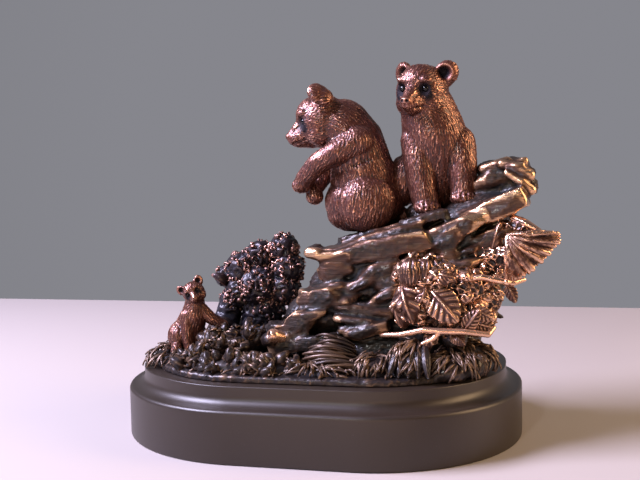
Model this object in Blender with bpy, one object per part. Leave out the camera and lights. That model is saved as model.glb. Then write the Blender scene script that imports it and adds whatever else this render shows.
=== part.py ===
"""Bear cubs on a rock ledge: a cast group on a two-tier oval plinth.

Metres, +Z up. The origin is the middle of the plinth's underside, and -Y is the front.
"""
import math
import random

import bmesh
import bpy
from mathutils import Euler, Matrix, Vector, noise

# Plinth
PLINTH_WIDTH = 0.165
PLINTH_DEPTH = 0.126
PLINTH_END_FLAT = 0.006
PLINTH_HEIGHT = 0.028
LOWER_TIER_HEIGHT = 0.0204
TIER_STEP = 0.0064
RIM_ROUND = 0.0016
FOOT_ROUND = 0.0008
COVE_HEIGHT = 0.0040
TOP_EDGE_ROUND = 0.0004
CORNER_STEPS = 8

# Casting
SEAT_GAP = 0.0003
GROUND_MARGIN = 0.0052
GROUND_THICKNESS = 0.0035
GROUP_LENGTH = 0.168
GROUP_HEIGHT = 0.124
LEFT_CUB_HEIGHT = 0.0624
RIGHT_CUB_HEIGHT = 0.0638
SMALL_CUB_HEIGHT = 0.0305
TWIG_THICKNESS = 0.0024
LEAF_THICKNESS = 0.0017
VEIN_THICKNESS = 0.0016
LOCK_LENGTH = 0.0075
LOCK_WIDTH = 0.0030
LOCK_RELIEF = 0.0005

# Detail of the faceted solid
VOXEL = 0.00085
SMOOTH_STEPS = 3
CASTING_TRIANGLES = 9100
HEAD_WEIGHT = 0.5
DETAIL_BIAS = 0.00004

# Grids that the forms are drawn on: a figure's own height, and the group's length and height
LEFT_CUB_GRID = 62.4
RIGHT_CUB_GRID = 63.8
SMALL_CUB_GRID = 30.5
GROUP_LENGTH_GRID = 168.0
GROUP_HEIGHT_GRID = 124.0
HEAD_GRID = 11.2


def clear_scene():
    for thing in list(bpy.data.objects):
        bpy.data.objects.remove(thing)


def make_material(name, colour, roughness, metallic):
    material = bpy.data.materials.new(name)
    material.use_nodes = True
    shader = material.node_tree.nodes["Principled BSDF"]
    shader.inputs["Base Color"].default_value = (*colour, 1.0)
    shader.inputs["Roughness"].default_value = roughness
    shader.inputs["Metallic"].default_value = metallic
    return material


def make_object(name, mesh, material):
    data = bpy.data.meshes.new(name)
    mesh.to_mesh(data)
    mesh.free()
    data.materials.append(material)
    thing = bpy.data.objects.new(name, data)
    bpy.context.collection.objects.link(thing)
    return thing


def baked(thing):
    """The object's mesh with its modifiers applied, as a bmesh."""
    graph = bpy.context.evaluated_depsgraph_get()
    data = bpy.data.meshes.new_from_object(thing.evaluated_get(graph))
    mesh = bmesh.new()
    mesh.from_mesh(data)
    bpy.data.meshes.remove(data)
    return mesh


# Plinth: an oval outline, and a moulding profile carried round it

def oval_outline(inset):
    """Points of the rounded rectangle that lies this far inside the plinth's outer edge."""
    corner = (PLINTH_DEPTH - PLINTH_END_FLAT) / 2
    radius = corner - inset
    reach_x = PLINTH_WIDTH / 2 - corner
    reach_y = PLINTH_END_FLAT / 2
    points = []
    for quarter, (side_x, side_y) in enumerate(((1, 1), (-1, 1), (-1, -1), (1, -1))):
        for step in range(CORNER_STEPS + 1):
            angle = (quarter + step / CORNER_STEPS) * math.pi / 2
            x = side_x * reach_x + radius * math.cos(angle)
            y = side_y * reach_y + radius * math.sin(angle)
            points.append((x, y))
    return points


def plinth_profile():
    """Inset and height of each ring, from the underside to the top."""
    rings = [(FOOT_ROUND, 0.0), (0.0, FOOT_ROUND)]
    for step in range(4):
        angle = step / 3 * math.pi / 2
        rings.append((RIM_ROUND * (1 - math.cos(angle)),
                      LOWER_TIER_HEIGHT - RIM_ROUND * (1 - math.sin(angle))))
    for step in range(1, 4):
        angle = step / 3 * math.pi / 2
        rings.append((RIM_ROUND + (TIER_STEP - RIM_ROUND) * math.sin(angle),
                      LOWER_TIER_HEIGHT + COVE_HEIGHT * (1 - math.cos(angle))))
    rings.append((TIER_STEP, PLINTH_HEIGHT - TOP_EDGE_ROUND))
    rings.append((TIER_STEP + TOP_EDGE_ROUND, PLINTH_HEIGHT))
    return rings


def make_plinth(material):
    mesh = bmesh.new()
    loops = []
    for inset, height in plinth_profile():
        ring = [mesh.verts.new((x, y, height)) for x, y in oval_outline(inset)]
        loops.append([mesh.edges.new((ring[i - 1], ring[i])) for i in range(len(ring))])
        if len(loops) > 1:
            bmesh.ops.bridge_loops(mesh, edges=loops[-2] + loops[-1])
    bmesh.ops.edgeloop_fill(mesh, edges=loops[0])
    bmesh.ops.edgeloop_fill(mesh, edges=loops[-1])
    bmesh.ops.recalc_face_normals(mesh, faces=mesh.faces)
    thing = make_object("plinth", mesh, material)
    thing.data.shade_smooth()
    thing.data.set_sharp_from_angle(angle=math.radians(35))
    return thing


# Clay: forms are added in a frame, and are blended into one skin afterwards

def ball_directions():
    """Unit vectors spread evenly over a ball."""
    mesh = bmesh.new()
    bmesh.ops.create_icosphere(mesh, subdivisions=2, radius=1)
    ways = [vert.co.copy() for vert in mesh.verts]
    mesh.free()
    return ways


def turn_matrix(turn):
    return Euler([math.radians(angle) for angle in turn]).to_matrix().to_4x4()


class Clay:
    """Collects overlapping closed forms, and what is carved later into their blended skin.

    A hollow is a place, a radius and a push. A head is a place and a radius, and its skin keeps
    more faces. A coat is a figure's frame and the box, on its grid, that its fur lies in.
    """

    def __init__(self):
        self.mesh = bmesh.new()
        self.frame = Matrix.Identity(4)
        self.hollows = []
        self.heads = []
        self.coats = []

    def ball(self, place, radii, turn=(0, 0, 0)):
        if not isinstance(radii, (tuple, list)):
            radii = (radii, radii, radii)
        shape = Matrix.Translation(place) @ turn_matrix(turn) @ Matrix.Diagonal((*radii, 1))
        bmesh.ops.create_icosphere(self.mesh, subdivisions=3, radius=1, matrix=self.frame @ shape)

    def skin_over(self, points):
        """Closes the tight skin over loose points, given in the current frame."""
        verts = [self.mesh.verts.new(self.frame @ point) for point in points]
        made = bmesh.ops.convex_hull(self.mesh, input=verts)
        inner = [vert for vert in made["geom_interior"] if isinstance(vert, bmesh.types.BMVert)]
        bmesh.ops.delete(self.mesh, geom=inner, context="VERTS")

    def hull(self, balls):
        """The tight skin over a few balls, each given as x, y, z and radius."""
        self.skin_over([Vector((x, y, z)) + way * radius
                        for x, y, z, radius in balls for way in ball_directions()])

    def limb(self, *stations):
        for start, end in zip(stations, stations[1:]):
            self.hull((start, end))

    def slab(self, place, size, turn=(0, 0, 0), rough=0.16, seed=1):
        """A weathered slab: a box whose corners and faces are broken off at random."""
        chance = random.Random(seed)
        shape = Matrix.Translation(place) @ turn_matrix(turn)
        points = []
        for x in (-0.5, 0.0, 0.5):
            for y in (-0.5, 0.0, 0.5):
                for z in (-0.5, 0.5):
                    corner = 0.80 if x and y else 1.0
                    swell = 1.10 if not x and not y else 1.0
                    share = [x * corner, y * corner, z * swell]
                    share = [value * (1 - rough * chance.random()) for value in share]
                    if not x:
                        share[0] += rough * (chance.random() - 0.5)
                    local = Vector([share[i] * size[i] for i in range(3)])
                    points.append(shape @ local)
        self.skin_over(points)

    def leaf(self, base, tip, width, facing, thickness, cup=0.0):
        """A pointed blade from base to tip, its midrib raised and its edges bent by cup."""
        base, tip, facing = Vector(base), Vector(tip), Vector(facing).normalized()
        along = (tip - base).normalized()
        across = along.cross(facing).normalized()
        up = across.cross(along)
        length = (tip - base).length
        steps = 8
        rows = []
        for step in range(steps + 1):
            share = step / steps
            half = width / 2 * math.sin(math.pi * share ** 0.8) ** 0.75 + 0.02 * width
            droop = cup * length * (share - 0.5) ** 2
            spine = base + along * length * share - up * droop
            edge_drop = cup * half * 0.8
            for side in (-1, 1):
                for skin in (-1, 1):
                    offset = across * side * half - up * edge_drop + up * skin * thickness / 2
                    rows.append((step, spine + offset))
                    rows.append((step, spine + up * skin * thickness * 0.9))
        for step in range(steps):
            self.skin_over([place for row, place in rows if row in (step, step + 1)])

    def hollow(self, place, radius, push):
        """A hollow is pressed in later, at a place and by a push given in the current frame."""
        scale = self.frame.to_scale()[0]
        self.hollows.append((self.frame @ Vector(place), radius * scale,
                             self.frame.to_3x3() @ Vector(push)))


def group_frame():
    """Maps the group's drawing grid to metres, standing on the plinth's top."""
    along = GROUP_LENGTH / GROUP_LENGTH_GRID
    upward = GROUP_HEIGHT / GROUP_HEIGHT_GRID
    return (Matrix.Translation((0, 0, PLINTH_HEIGHT + SEAT_GAP))
            @ Matrix.Diagonal((along, along, upward, 1)))


def figure_frame(seat, heading, height, grid):
    """A figure's frame: X forward, Y to its left, Z up, from its seat on the group's grid."""
    place = group_frame() @ Vector(seat)
    scale = height / grid
    return (Matrix.Translation(place) @ Matrix.Rotation(math.radians(heading), 4, "Z")
            @ Matrix.Diagonal((scale, scale, scale, 1)))


# Cubs

def model_head(clay, place, yaw, pitch, roll, size, ear_shift=(0, 0), ear_turn=(-8, 28)):
    """A cub's head on its own grid: skull, brow, muzzle, nose, cheeks, ears and eyes."""
    outer = clay.frame
    scale = size / HEAD_GRID
    clay.frame = (outer @ Matrix.Translation(place)
                  @ Matrix.Rotation(math.radians(yaw), 4, "Z")
                  @ Matrix.Rotation(math.radians(pitch), 4, "Y")
                  @ Matrix.Rotation(math.radians(roll), 4, "X")
                  @ Matrix.Diagonal((scale, scale, scale, 1)))
    clay.heads.append((clay.frame @ Vector((4, 0, 0)), 17 * clay.frame.to_scale()[0]))
    clay.ball((0, 0, 0.5), (11.3, 10.6, 11.0))
    clay.ball((2.5, 0, 4.0), (8.0, 8.2, 8.0))
    clay.limb((6.0, 0, -2.2, 6.4), (10.5, 0, -2.2, 4.6), (14.0, 0, -1.7, 3.0))
    clay.hull(((7.5, 0, 2.0, 4.0), (14.8, 0, -0.3, 2.1)))
    clay.ball((12.7, 0, -1.9), (3.1, 4.2, 2.9))
    clay.ball((15.9, 0, -0.2), (1.4, 2.1, 1.4))
    clay.ball((12.0, 0, -4.6), (2.8, 2.5, 1.7))
    for side in (-1, 1):
        clay.ball((2.4, side * 5.6, -3.4), (6.2, 4.7, 5.7))
        clay.ball((6.4, side * 4.6, 6.4), (2.9, 3.0, 2.1))
        ear = Matrix.Translation((-3.6 + ear_shift[0], side * 9.6, 7.9 + ear_shift[1]))
        ear = ear @ turn_matrix((side * -32, ear_turn[0], side * ear_turn[1]))
        skull_frame = clay.frame
        clay.frame = skull_frame @ ear
        clay.ball((0, 0, 0), (2.6, 4.9, 5.1))
        clay.ball((-0.6, 0, -2.6), (2.6, 4.2, 3.8))
        clay.hollow((2.4, side * -0.8, 0), 3.5, (-2.5, 0, 0))
        clay.frame = skull_frame
        clay.hollow((9.4, side * 5.2, 3.0), 3.0, (-1.5, 0, 0))
        clay.ball((7.7, side * 5.1, 3.2), 1.7)
    clay.frame = outer


def model_left_cub(clay):
    """Sits side-on, looking along the ledge, with its forelegs crossed before its chest."""
    clay.frame = figure_frame((16, 3, 53.7), 190.6, LEFT_CUB_HEIGHT, LEFT_CUB_GRID)
    clay.ball((-2.2, 0, 12.3), (16.9, 13.5, 13.0))
    clay.ball((-2.0, 0, 22), (14.3, 13.0, 13.0))
    clay.limb((-2, 0, 24, 13.0), (2.0, 0, 36.8, 12.6), (6.6, 0, 43.4, 11.9), (12.4, 0, 45, 10.0))
    clay.ball((3.0, 1.0, 7.4), (10.8, 9.0, 7.6))
    clay.ball((-3.0, 10.6, 11.6), (11.8, 6.6, 11.6))
    clay.ball((1.5, -9.0, 10.2), (12.2, 6.0, 10.5))
    clay.ball((-18.0, 0, 6), (3.2, 3.4, 3.6))
    clay.limb((0.5, 8.0, 37, 7.2), (9, 10.0, 33.0, 5.2), (17, 7.5, 28.4, 4.5),
              (22.4, 4.0, 22.8, 3.9), (24.0, 2.6, 20.0, 3.7))
    clay.limb((0.5, -8.0, 36, 7.0), (9, -9.5, 29.5, 5.0), (16, -7.0, 23.0, 4.2),
              (19.4, -2.2, 17.6, 3.6), (19.0, -1.0, 15.4, 3.6))
    clay.coats.append((clay.frame.copy(), (-24, -17, 1), (14, 17, 55)))
    model_head(clay, (14.5, 0, 45.6), 0, 20, 0, HEAD_GRID, (1.3, 3.0), (16, -50))


def model_right_cub(clay):
    """Sits facing the front on straight forelegs, its head turned towards the other cub."""
    clay.frame = figure_frame((50, 6, 59.7), 279, RIGHT_CUB_HEIGHT, RIGHT_CUB_GRID)
    clay.ball((-8, -2, 14), (13.5, 15.5, 13.5))
    clay.limb((-7, -2, 17, 14.2), (-2.5, -2.2, 28, 14.0), (0, -2.9, 34, 13.2),
              (1.5, -5.0, 42.5, 11.4), (2.5, -6.4, 46, 10.8))
    clay.ball((-5, -15.6, 14.6), (10.0, 6.6, 10.8))
    clay.ball((-6, 8.2, 13), (10.5, 6.6, 11.0))
    clay.limb((2.0, -9.2, 31, 7.6), (5.2, -9.2, 21, 6.2), (7.5, -7.6, 9, 5.5), (8.4, -6.7, 5, 5.0))
    clay.ball((10.2, -6.4, 3.8), (5.6, 5.6, 3.2))
    clay.limb((2.0, 6.2, 29.5, 7.8), (5.2, 8.2, 21, 6.2), (7.2, 8.4, 12, 5.4), (8.0, 8.2, 9, 5.0))
    clay.ball((9.8, 8.2, 7.4), (5.4, 5.4, 3.1))
    clay.coats.append((clay.frame.copy(), (-24, -21, 7), (12, 20, 50)))
    model_head(clay, (3.6, -7.5, 50.5), -28.5, 14, -3, HEAD_GRID, (0, -0.6))


def model_small_cub(clay):
    """Sits low at the left, head tilted, one foreleg reaching across to the plants."""
    clay.frame = figure_frame((-54, -18, 4.7), 291, SMALL_CUB_HEIGHT, SMALL_CUB_GRID)
    clay.ball((-2, -1, 7), (7.0, 7.0, 7.0))
    clay.limb((-1.5, 0, 9, 6.4), (0, 2.4, 15, 5.5), (0.4, 2.8, 20, 4.1), (0.6, 2.7, 23, 4.0))
    clay.ball((-0.5, -4.3, 6.4), (6.0, 4.6, 6.0))
    clay.ball((-1.5, 4.2, 5.4), (5.5, 4.0, 5.0))
    clay.ball((4.0, -5.2, 2.6), (3.8, 2.3, 2.2))
    clay.limb((2.0, -0.6, 15, 2.9), (4.2, -0.8, 8, 2.4), (5.0, 0.0, 1.5, 2.1))
    clay.limb((1.0, 5.4, 17, 3.2), (2.0, 9.6, 13.4, 2.5), (2.6, 14.4, 10.8, 2.2))
    model_head(clay, (1.0, 2.6, 24.5), 0, 8, 30, 4.9)


# Rock ledge: a core, and slabs laid on it that all rise to the right

ROCK_CORE = (
    # x, y, z, then half length, half depth and half height, then the rise in degrees
    (27, 2, 8, 40, 32, 14, 4),
    (33, 2, 24, 36, 27, 14, 10),
    (40, 2, 40, 33, 22, 12, 14),
    (20, 1, 43, 22, 15, 9, 8),
    (14, -2, 33, 19, 17, 10, 4),
    (6, -8, 20, 20, 17, 11, 0),
    (64, 3, 60, 20, 16, 9, 20),
)
FRONT_SLABS = (
    # x, y, z of the middle, then length, depth and thickness, then the rise in degrees
    (33, 3, 53.8, 64, 44, 8.5, 14),
    (76, 4, 74.0, 25, 26, 13, 22),
    (72, -9, 64.0, 34, 18, 7.5, 25),
    (46, -17, 59.6, 24, 12, 4.5, 14),
    (31, -16, 50.6, 34, 16, 8.5, 16),
    (13, -14, 46.6, 27, 16, 5.5, 8),
    (23, -16, 40.0, 38, 20, 7.5, 12),
    (16, -17, 32.2, 40, 22, 8.0, 8),
    (5, -23, 27.6, 23, 15, 9.0, -6),
    (24, -20, 23.4, 30, 22, 10.0, 6),
    (20, -28, 17.6, 18, 10, 4.0, 4),
    (59, -14, 40.6, 28, 18, 7.5, 14),
    (50, -13, 50.0, 15, 14, 11.0, 20),
    (-9, -26, 13.4, 20, 17, 12.0, -10),
    (4, -30, 12.0, 20, 12, 7.0, 8),
)
LEDGE_STONES = (
    # x, y, z of the middle, then the three half sizes
    (0.6, -13, 46.4, 3.6, 4.0, 3.2),
    (45, 0, 57.6, 8.0, 8.0, 4.0),
    (42, 4, 61.2, 7.5, 9.0, 4.2),
    (71.0, 4, 77.8, 7.0, 7.0, 4.8),
    (57, -16, 47.6, 4.6, 4.0, 3.6),
    (63, -14, 50.6, 4.0, 4.0, 3.2),
    (78.5, 4, 81.4, 3.4, 4.6, 2.6),
    (84.5, 0, 77.0, 4.2, 4.4, 2.8),
    (86.6, -1, 71.8, 2.6, 4.0, 4.0),
    (58, -27, 13.6, 5.0, 4.6, 4.0),
    (-16, -18, 10.0, 8.0, 8.0, 8.0),
)


def model_rock(clay):
    clay.frame = group_frame()
    for x, y, z, long, deep, high, rise in ROCK_CORE:
        clay.ball((x, y, z), (long, deep, high), (0, -rise, 0))
    for count, (x, y, z, long, deep, thick, rise) in enumerate(FRONT_SLABS):
        clay.slab((x, y, z), (long, deep, thick), (0, -rise, 0), seed=count)
    for count in range(9):
        level = count % 3
        clay.slab((14 + 22 * (count // 3) + 5 * level, 19 - 4 * level, 14 + 15 * level),
                  (30, 20, 10), (0, -12, 8 * (count // 3 - 1)), seed=50 + count)
    for x, y, z, *radii in LEDGE_STONES:
        clay.ball((x, y, z), radii)


# Planting

BUSH_LOBES = (
    # x, y, z and radius
    (-20.0, 10, 44.6, 7.4), (-29.5, 11, 40.6, 8.6), (-39.0, 10, 36.0, 7.8), (-46.2, 9, 33.2, 4.6),
    (-17.5, 9, 37.0, 6.8), (-19.5, 8, 28.0, 7.0), (-30.0, 7, 29.0, 9.2), (-39.0, 8, 26.5, 7.4),
    (-27.0, 8, 20.0, 7.4), (-43.5, 9, 22.0, 5.6), (-36.0, 16, 31.0, 8.0), (-25.0, 17, 34.0, 8.4),
)
LEAF_CLUSTER = (
    # x, y, z and radius of the mass that the leaves lie on
    (42, -22, 38, 8.0), (50, -23, 36, 9.5), (60, -21, 33, 10.0), (66, -18, 29, 9.0),
    (46, -24, 27, 9.0), (56, -24, 24, 9.0), (65, -21, 22, 8.0), (72, -14, 41, 7.0),
)
CLUSTER_LEAVES = (
    # base, tip, width, facing and bend
    ((61, -25, 40), (50, -35, 25), 12, (0.1, -1, 0.35), 0.25),
    ((60, -29, 26), (69, -29, 21), 5.5, (0.1, -1, 0.2), 0.2),
    ((72, -25, 30), (74, -26, 17), 7, (0.5, -1, 0.1), 0.3),
    ((78, -24, 35), (80, -25, 26), 5.5, (0.3, -1, 0.0), 0.2),
    ((50, -27, 40), (58, -33, 34), 8, (0.1, -1, 0.5), 0.3),
    ((38, -27, 36), (46, -34, 27), 9, (-0.3, -1, 0.2), 0.4),
    ((36, -26, 30), (40, -32, 18), 7, (-0.5, -1, 0.1), 0.3),
    ((47, -29, 26), (52, -32, 17), 6, (0.0, -1, 0.1), 0.3),
)
LARGE_LEAF = (
    # x, y, z round the blade, from the stem over the tip to the lower corner
    (75.9, -22, 53.3), (88.0, -24, 54.9), (95.0, -25, 53.8), (94.4, -25, 50.3),
    (91.0, -25.5, 45.2), (85.8, -26, 39.9), (77.7, -25, 36.6),
)
NETTED_LEAF = ((72.5, -19, 54), (76, -20, 54), (69.5, -20, 37.5), (78, -22, 37))
UPPER_TWIG = ((57, -24, 36), (66, -28, 36), (75, -28, 35), (83, -25, 36))
LOWER_TWIG = ((30, -30, 14.5), (40, -33, 16.5), (50, -33.5, 18.5), (60, -31, 18.5), (71, -26, 15.5))
MOUNDS = (
    # x, y, z, then the three half sizes
    (-59, -17, 1.5, 12.5, 16, 5.5), (-36, -26, 8, 8, 8, 8), (-26, -27, 9, 7, 7, 8),
    (-45, -2, 9, 8, 8, 9), (9.5, -33, 9, 13, 10, 8.5), (61, -23, 4, 12, 14, 8),
    (-44, -36, 3, 8, 7, 5), (-30, -41, 3, 9, 6, 5), (-12, -42, 2.5, 12, 6, 5), (8, -43, 2, 14, 5, 4),
    (28, -38, 4, 8, 8, 5), (41, -36, 5, 8, 9, 9), (55, -34, 3, 10, 8, 6),
    (-40, 22, 6, 16, 14, 8), (-10, 26, 6, 18, 14, 9), (30, 32, 5, 20, 10, 8), (-62, 4, 2, 7, 12, 4),
)


def model_bush(clay):
    clay.frame = group_frame()
    clay.limb((-31, 9, 22, 7.0), (-31, 10, 2, 8.0))
    clay.limb((-44, 8, 20, 4.6), (-47, 6, 10, 5.0), (-45, 5, 2, 6.0))
    chance = random.Random(7)
    for x, y, z, radius in BUSH_LOBES:
        clay.ball((x, y, z), radius * 0.92)
        for _ in range(9):
            away = Vector((chance.uniform(-1, 1), chance.uniform(-1, 1), chance.uniform(-1, 1)))
            spot = Vector((x, y, z)) + away.normalized() * radius * 0.86
            clay.ball(spot, chance.uniform(1.7, 2.7))


def model_planting(clay):
    clay.frame = group_frame()
    scale = clay.frame.to_scale()[0]
    leaf_thickness = LEAF_THICKNESS / scale
    twig = TWIG_THICKNESS / 2 / scale
    vein = VEIN_THICKNESS / 2 / scale
    for x, y, z, radius in LEAF_CLUSTER:
        clay.ball((x, y, z), radius)
    for base, tip, width, facing, bend in CLUSTER_LEAVES:
        clay.leaf(base, tip, width, facing, leaf_thickness, cup=bend)
    clay.hull([(*place, leaf_thickness * 0.6) for place in LARGE_LEAF])
    stem = Vector(LARGE_LEAF[0]) + Vector((1.0, -1.4, -1.6))
    for corner in LARGE_LEAF[2:]:
        end = Vector(corner) + Vector((0, -1.0, 0))
        clay.limb((*stem, vein), (*end, vein))
    clay.hull([(*place, leaf_thickness * 0.8) for place in NETTED_LEAF])
    clay.limb((66, -12, 45, 8.0), (76, -18, 45, 4.5), (83, -23, 47, 2.0))
    clay.limb((76, -16, 57, 2.0), (84, -20, 56, 1.6))
    clay.ball((41.5, -31, 40.0), (4.6, 4.2, 6.0))
    clay.ball((46.6, -30, 40.6), (3.2, 3.6, 5.0), (0, 14, 0))
    for route in (UPPER_TWIG, LOWER_TWIG):
        clay.limb(*[(*place, twig) for place in route])
    clay.limb((-20, -24, 11, 3.2), (-14, -32, 13, 3.2))
    for ridge in range(5):
        x = 33 + 4.2 * ridge
        clay.limb((x + 3, -31, 14, 1.6), (x, -39, 8, 1.8), (x - 3, -45, 1.5, 1.2))


def model_ground(clay):
    """A plate with the plinth's outline less its step and a margin, and low mounds on it."""
    inset = TIER_STEP + TOP_EDGE_ROUND + GROUND_MARGIN
    low = PLINTH_HEIGHT - GROUND_THICKNESS
    high = PLINTH_HEIGHT + SEAT_GAP + GROUND_THICKNESS
    points = [clay.mesh.verts.new((x, y, z)) for z in (low, high) for x, y in oval_outline(inset)]
    bmesh.ops.convex_hull(clay.mesh, input=points)
    clay.frame = group_frame()
    for x, y, z, *radii in MOUNDS:
        clay.ball((x, y, z), radii)


def press_hollows(mesh, hollows):
    for place, radius, push in hollows:
        for vert in mesh.verts:
            share = (vert.co - place).length / radius
            if share < 1:
                vert.co += push * (1 - share * share) ** 2


def comb_locks(mesh, coats):
    """Raises long locks of fur, which hang down each figure's body."""
    mesh.normal_update()
    for frame, low, high in coats:
        to_grid = frame.inverted()
        for vert in mesh.verts:
            place = to_grid @ vert.co
            if all(low[i] < place[i] < high[i] for i in range(3)):
                x, y, z = (frame.to_3x3().normalized().inverted() @ vert.co)
                lock = noise.noise(Vector((x / LOCK_WIDTH, y / LOCK_WIDTH, z / LOCK_LENGTH)))
                vert.co += vert.normal * LOCK_RELIEF * (1 - 3 * abs(lock))


def keep_largest_shell(mesh):
    """Removes the small closed bubbles that blending can leave inside."""
    unseen = set(mesh.verts)
    shells = []
    while unseen:
        front = [unseen.pop()]
        shell = []
        while front:
            vert = front.pop()
            shell.append(vert)
            for edge in vert.link_edges:
                other = edge.other_vert(vert)
                if other in unseen:
                    unseen.remove(other)
                    front.append(other)
        shells.append(shell)
    shells.sort(key=len)
    spare = [vert for shell in shells[:-1] for vert in shell]
    bmesh.ops.delete(mesh, geom=spare, context="VERTS")


def cut_flat(mesh, height):
    """Cuts the mesh off at a level and closes it with a flat face."""
    cut = bmesh.ops.bisect_plane(
        mesh, geom=mesh.verts[:] + mesh.edges[:] + mesh.faces[:], dist=1e-7,
        plane_co=(0, 0, height), plane_no=(0, 0, 1), clear_inner=True)
    rim = [item for item in cut["geom_cut"] if isinstance(item, bmesh.types.BMEdge)]
    bmesh.ops.edgeloop_fill(mesh, edges=rim)
    bmesh.ops.triangulate(mesh, faces=[face for face in mesh.faces if len(face.verts) > 3])


def make_casting(material):
    clay = Clay()
    for model in (model_ground, model_rock, model_bush, model_planting,
                  model_left_cub, model_right_cub, model_small_cub):
        model(clay)
    bmesh.ops.recalc_face_normals(clay.mesh, faces=clay.mesh.faces)
    rough = make_object("rough_casting", clay.mesh, material)
    blend = rough.modifiers.new("blend", "REMESH")
    blend.mode = "VOXEL"
    blend.voxel_size = VOXEL
    soften = rough.modifiers.new("soften", "SMOOTH")
    soften.factor = 0.5
    soften.iterations = SMOOTH_STEPS
    mesh = baked(rough)
    bpy.data.objects.remove(rough)
    keep_largest_shell(mesh)
    press_hollows(mesh, clay.hollows)
    comb_locks(mesh, clay.coats)
    faces = sum(len(face.verts) - 2 for face in mesh.faces)
    casting = make_object("bear_cubs_casting", mesh, material)
    plain = casting.vertex_groups.new(name="plain")
    for vert in casting.data.vertices:
        near = min((vert.co - place).length / reach for place, reach in clay.heads)
        plain.add([vert.index], 1.0 if near > 1 else HEAD_WEIGHT, "REPLACE")
    thin = casting.modifiers.new("thin", "DECIMATE")
    thin.ratio = CASTING_TRIANGLES / faces
    thin.vertex_group = plain.name
    thin.vertex_group_factor = DETAIL_BIAS
    mesh = baked(casting)
    bpy.data.objects.remove(casting)
    cut_flat(mesh, PLINTH_HEIGHT + SEAT_GAP)
    return make_object("bear_cubs_casting", mesh, material)


def main():
    clear_scene()
    lacquer = make_material("black_lacquer", (0.02, 0.018, 0.017), 0.35, 0.0)
    copper = make_material("copper_bronze", (0.42, 0.20, 0.12), 0.38, 0.9)
    make_plinth(lacquer)
    make_casting(copper)


main()
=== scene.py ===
# %% [markdown]
# # Bear cubs on a rock ledge
# The object is a small ornamental sculpture. A group of bear cubs, a rock, a bush and leaves is
# cast in one piece, plated in antique copper bronze, and stands on an oval plinth in satin black.
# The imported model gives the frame: one casting, one plinth, one body. This file models the finish.
# Each figure and each kind of planting is a mesh of its own, so that it can be carved at its own
# scale, and together they stand for the single casting.

# %% Load the frame and measure it
import math
import random
from itertools import product

import bmesh
import bpy
import numpy as np
from mathutils import Euler, Matrix, Vector, noise
from mathutils.kdtree import KDTree


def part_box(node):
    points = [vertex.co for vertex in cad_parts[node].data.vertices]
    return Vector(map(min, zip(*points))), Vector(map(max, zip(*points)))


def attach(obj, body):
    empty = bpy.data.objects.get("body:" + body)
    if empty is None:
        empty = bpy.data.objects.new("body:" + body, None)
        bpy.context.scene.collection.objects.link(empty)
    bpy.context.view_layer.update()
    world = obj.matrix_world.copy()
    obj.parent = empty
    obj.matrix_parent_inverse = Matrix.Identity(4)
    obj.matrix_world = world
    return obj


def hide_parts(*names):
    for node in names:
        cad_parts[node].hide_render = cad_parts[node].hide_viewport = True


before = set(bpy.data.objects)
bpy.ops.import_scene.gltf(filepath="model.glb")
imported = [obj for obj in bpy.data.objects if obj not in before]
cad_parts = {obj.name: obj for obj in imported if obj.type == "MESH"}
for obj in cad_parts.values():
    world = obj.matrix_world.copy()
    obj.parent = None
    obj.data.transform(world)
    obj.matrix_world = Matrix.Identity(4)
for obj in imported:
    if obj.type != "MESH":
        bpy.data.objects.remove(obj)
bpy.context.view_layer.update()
casting_low, casting_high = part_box("bear_cubs_casting")
plinth_low, plinth_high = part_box("plinth")
MM = 0.001
print("casting", casting_low, casting_high)
print("plinth", plinth_low, plinth_high)

# %% [markdown]
# ## The drawing grid
# The group is drawn on a grid in millimetres that starts at the casting's flat underside. One
# matrix carries the grid to the frame, so a new casting height would lift every piece with it.
# A cub has its own frame inside this one: X looks forward, Y is to its left and Z is up.

# %% Frames for the group and for a figure
GROUP_HEIGHT_GRID = 123.3
GROUP_LENGTH_GRID = 167.0
upward = (casting_high.z - casting_low.z) / GROUP_HEIGHT_GRID
along = (casting_high.x - casting_low.x) / GROUP_LENGTH_GRID
group_frame = Matrix.Translation((0, 0, casting_low.z)) @ Matrix.Diagonal((along, along, upward, 1))


def figure_frame(seat, heading):
    """X forward, Y left and Z up, from a figure's seat on the group's grid."""
    return (Matrix.Translation(group_frame @ Vector(seat))
            @ Matrix.Rotation(math.radians(heading), 4, "Z")
            @ Matrix.Diagonal((upward, upward, upward, 1)))


print("one grid step is", round(upward / MM, 4), "mm up and", round(along / MM, 4), "mm along")

# %% [markdown]
# ## Clay
# A sculptor builds an animal from overlapping lumps, then smooths them into one skin. The same can
# be done with metaballs, or by modelling one cage and subdividing it. Here the lumps are balls and
# limbs made by bmesh operators, and a voxel remesh welds them, because each lump then keeps a plain
# size that can be checked against the real figure. Each lump of an animal also notes which way the
# fur lies on it.

# %% The clay's lumps
def ball_directions():
    mesh = bmesh.new()
    bmesh.ops.create_icosphere(mesh, subdivisions=3, radius=1)
    ways = [vert.co.copy() for vert in mesh.verts]
    mesh.free()
    return ways


BALL = ball_directions()


def turn_matrix(turn):
    return Euler([math.radians(angle) for angle in turn]).to_matrix().to_4x4()


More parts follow.
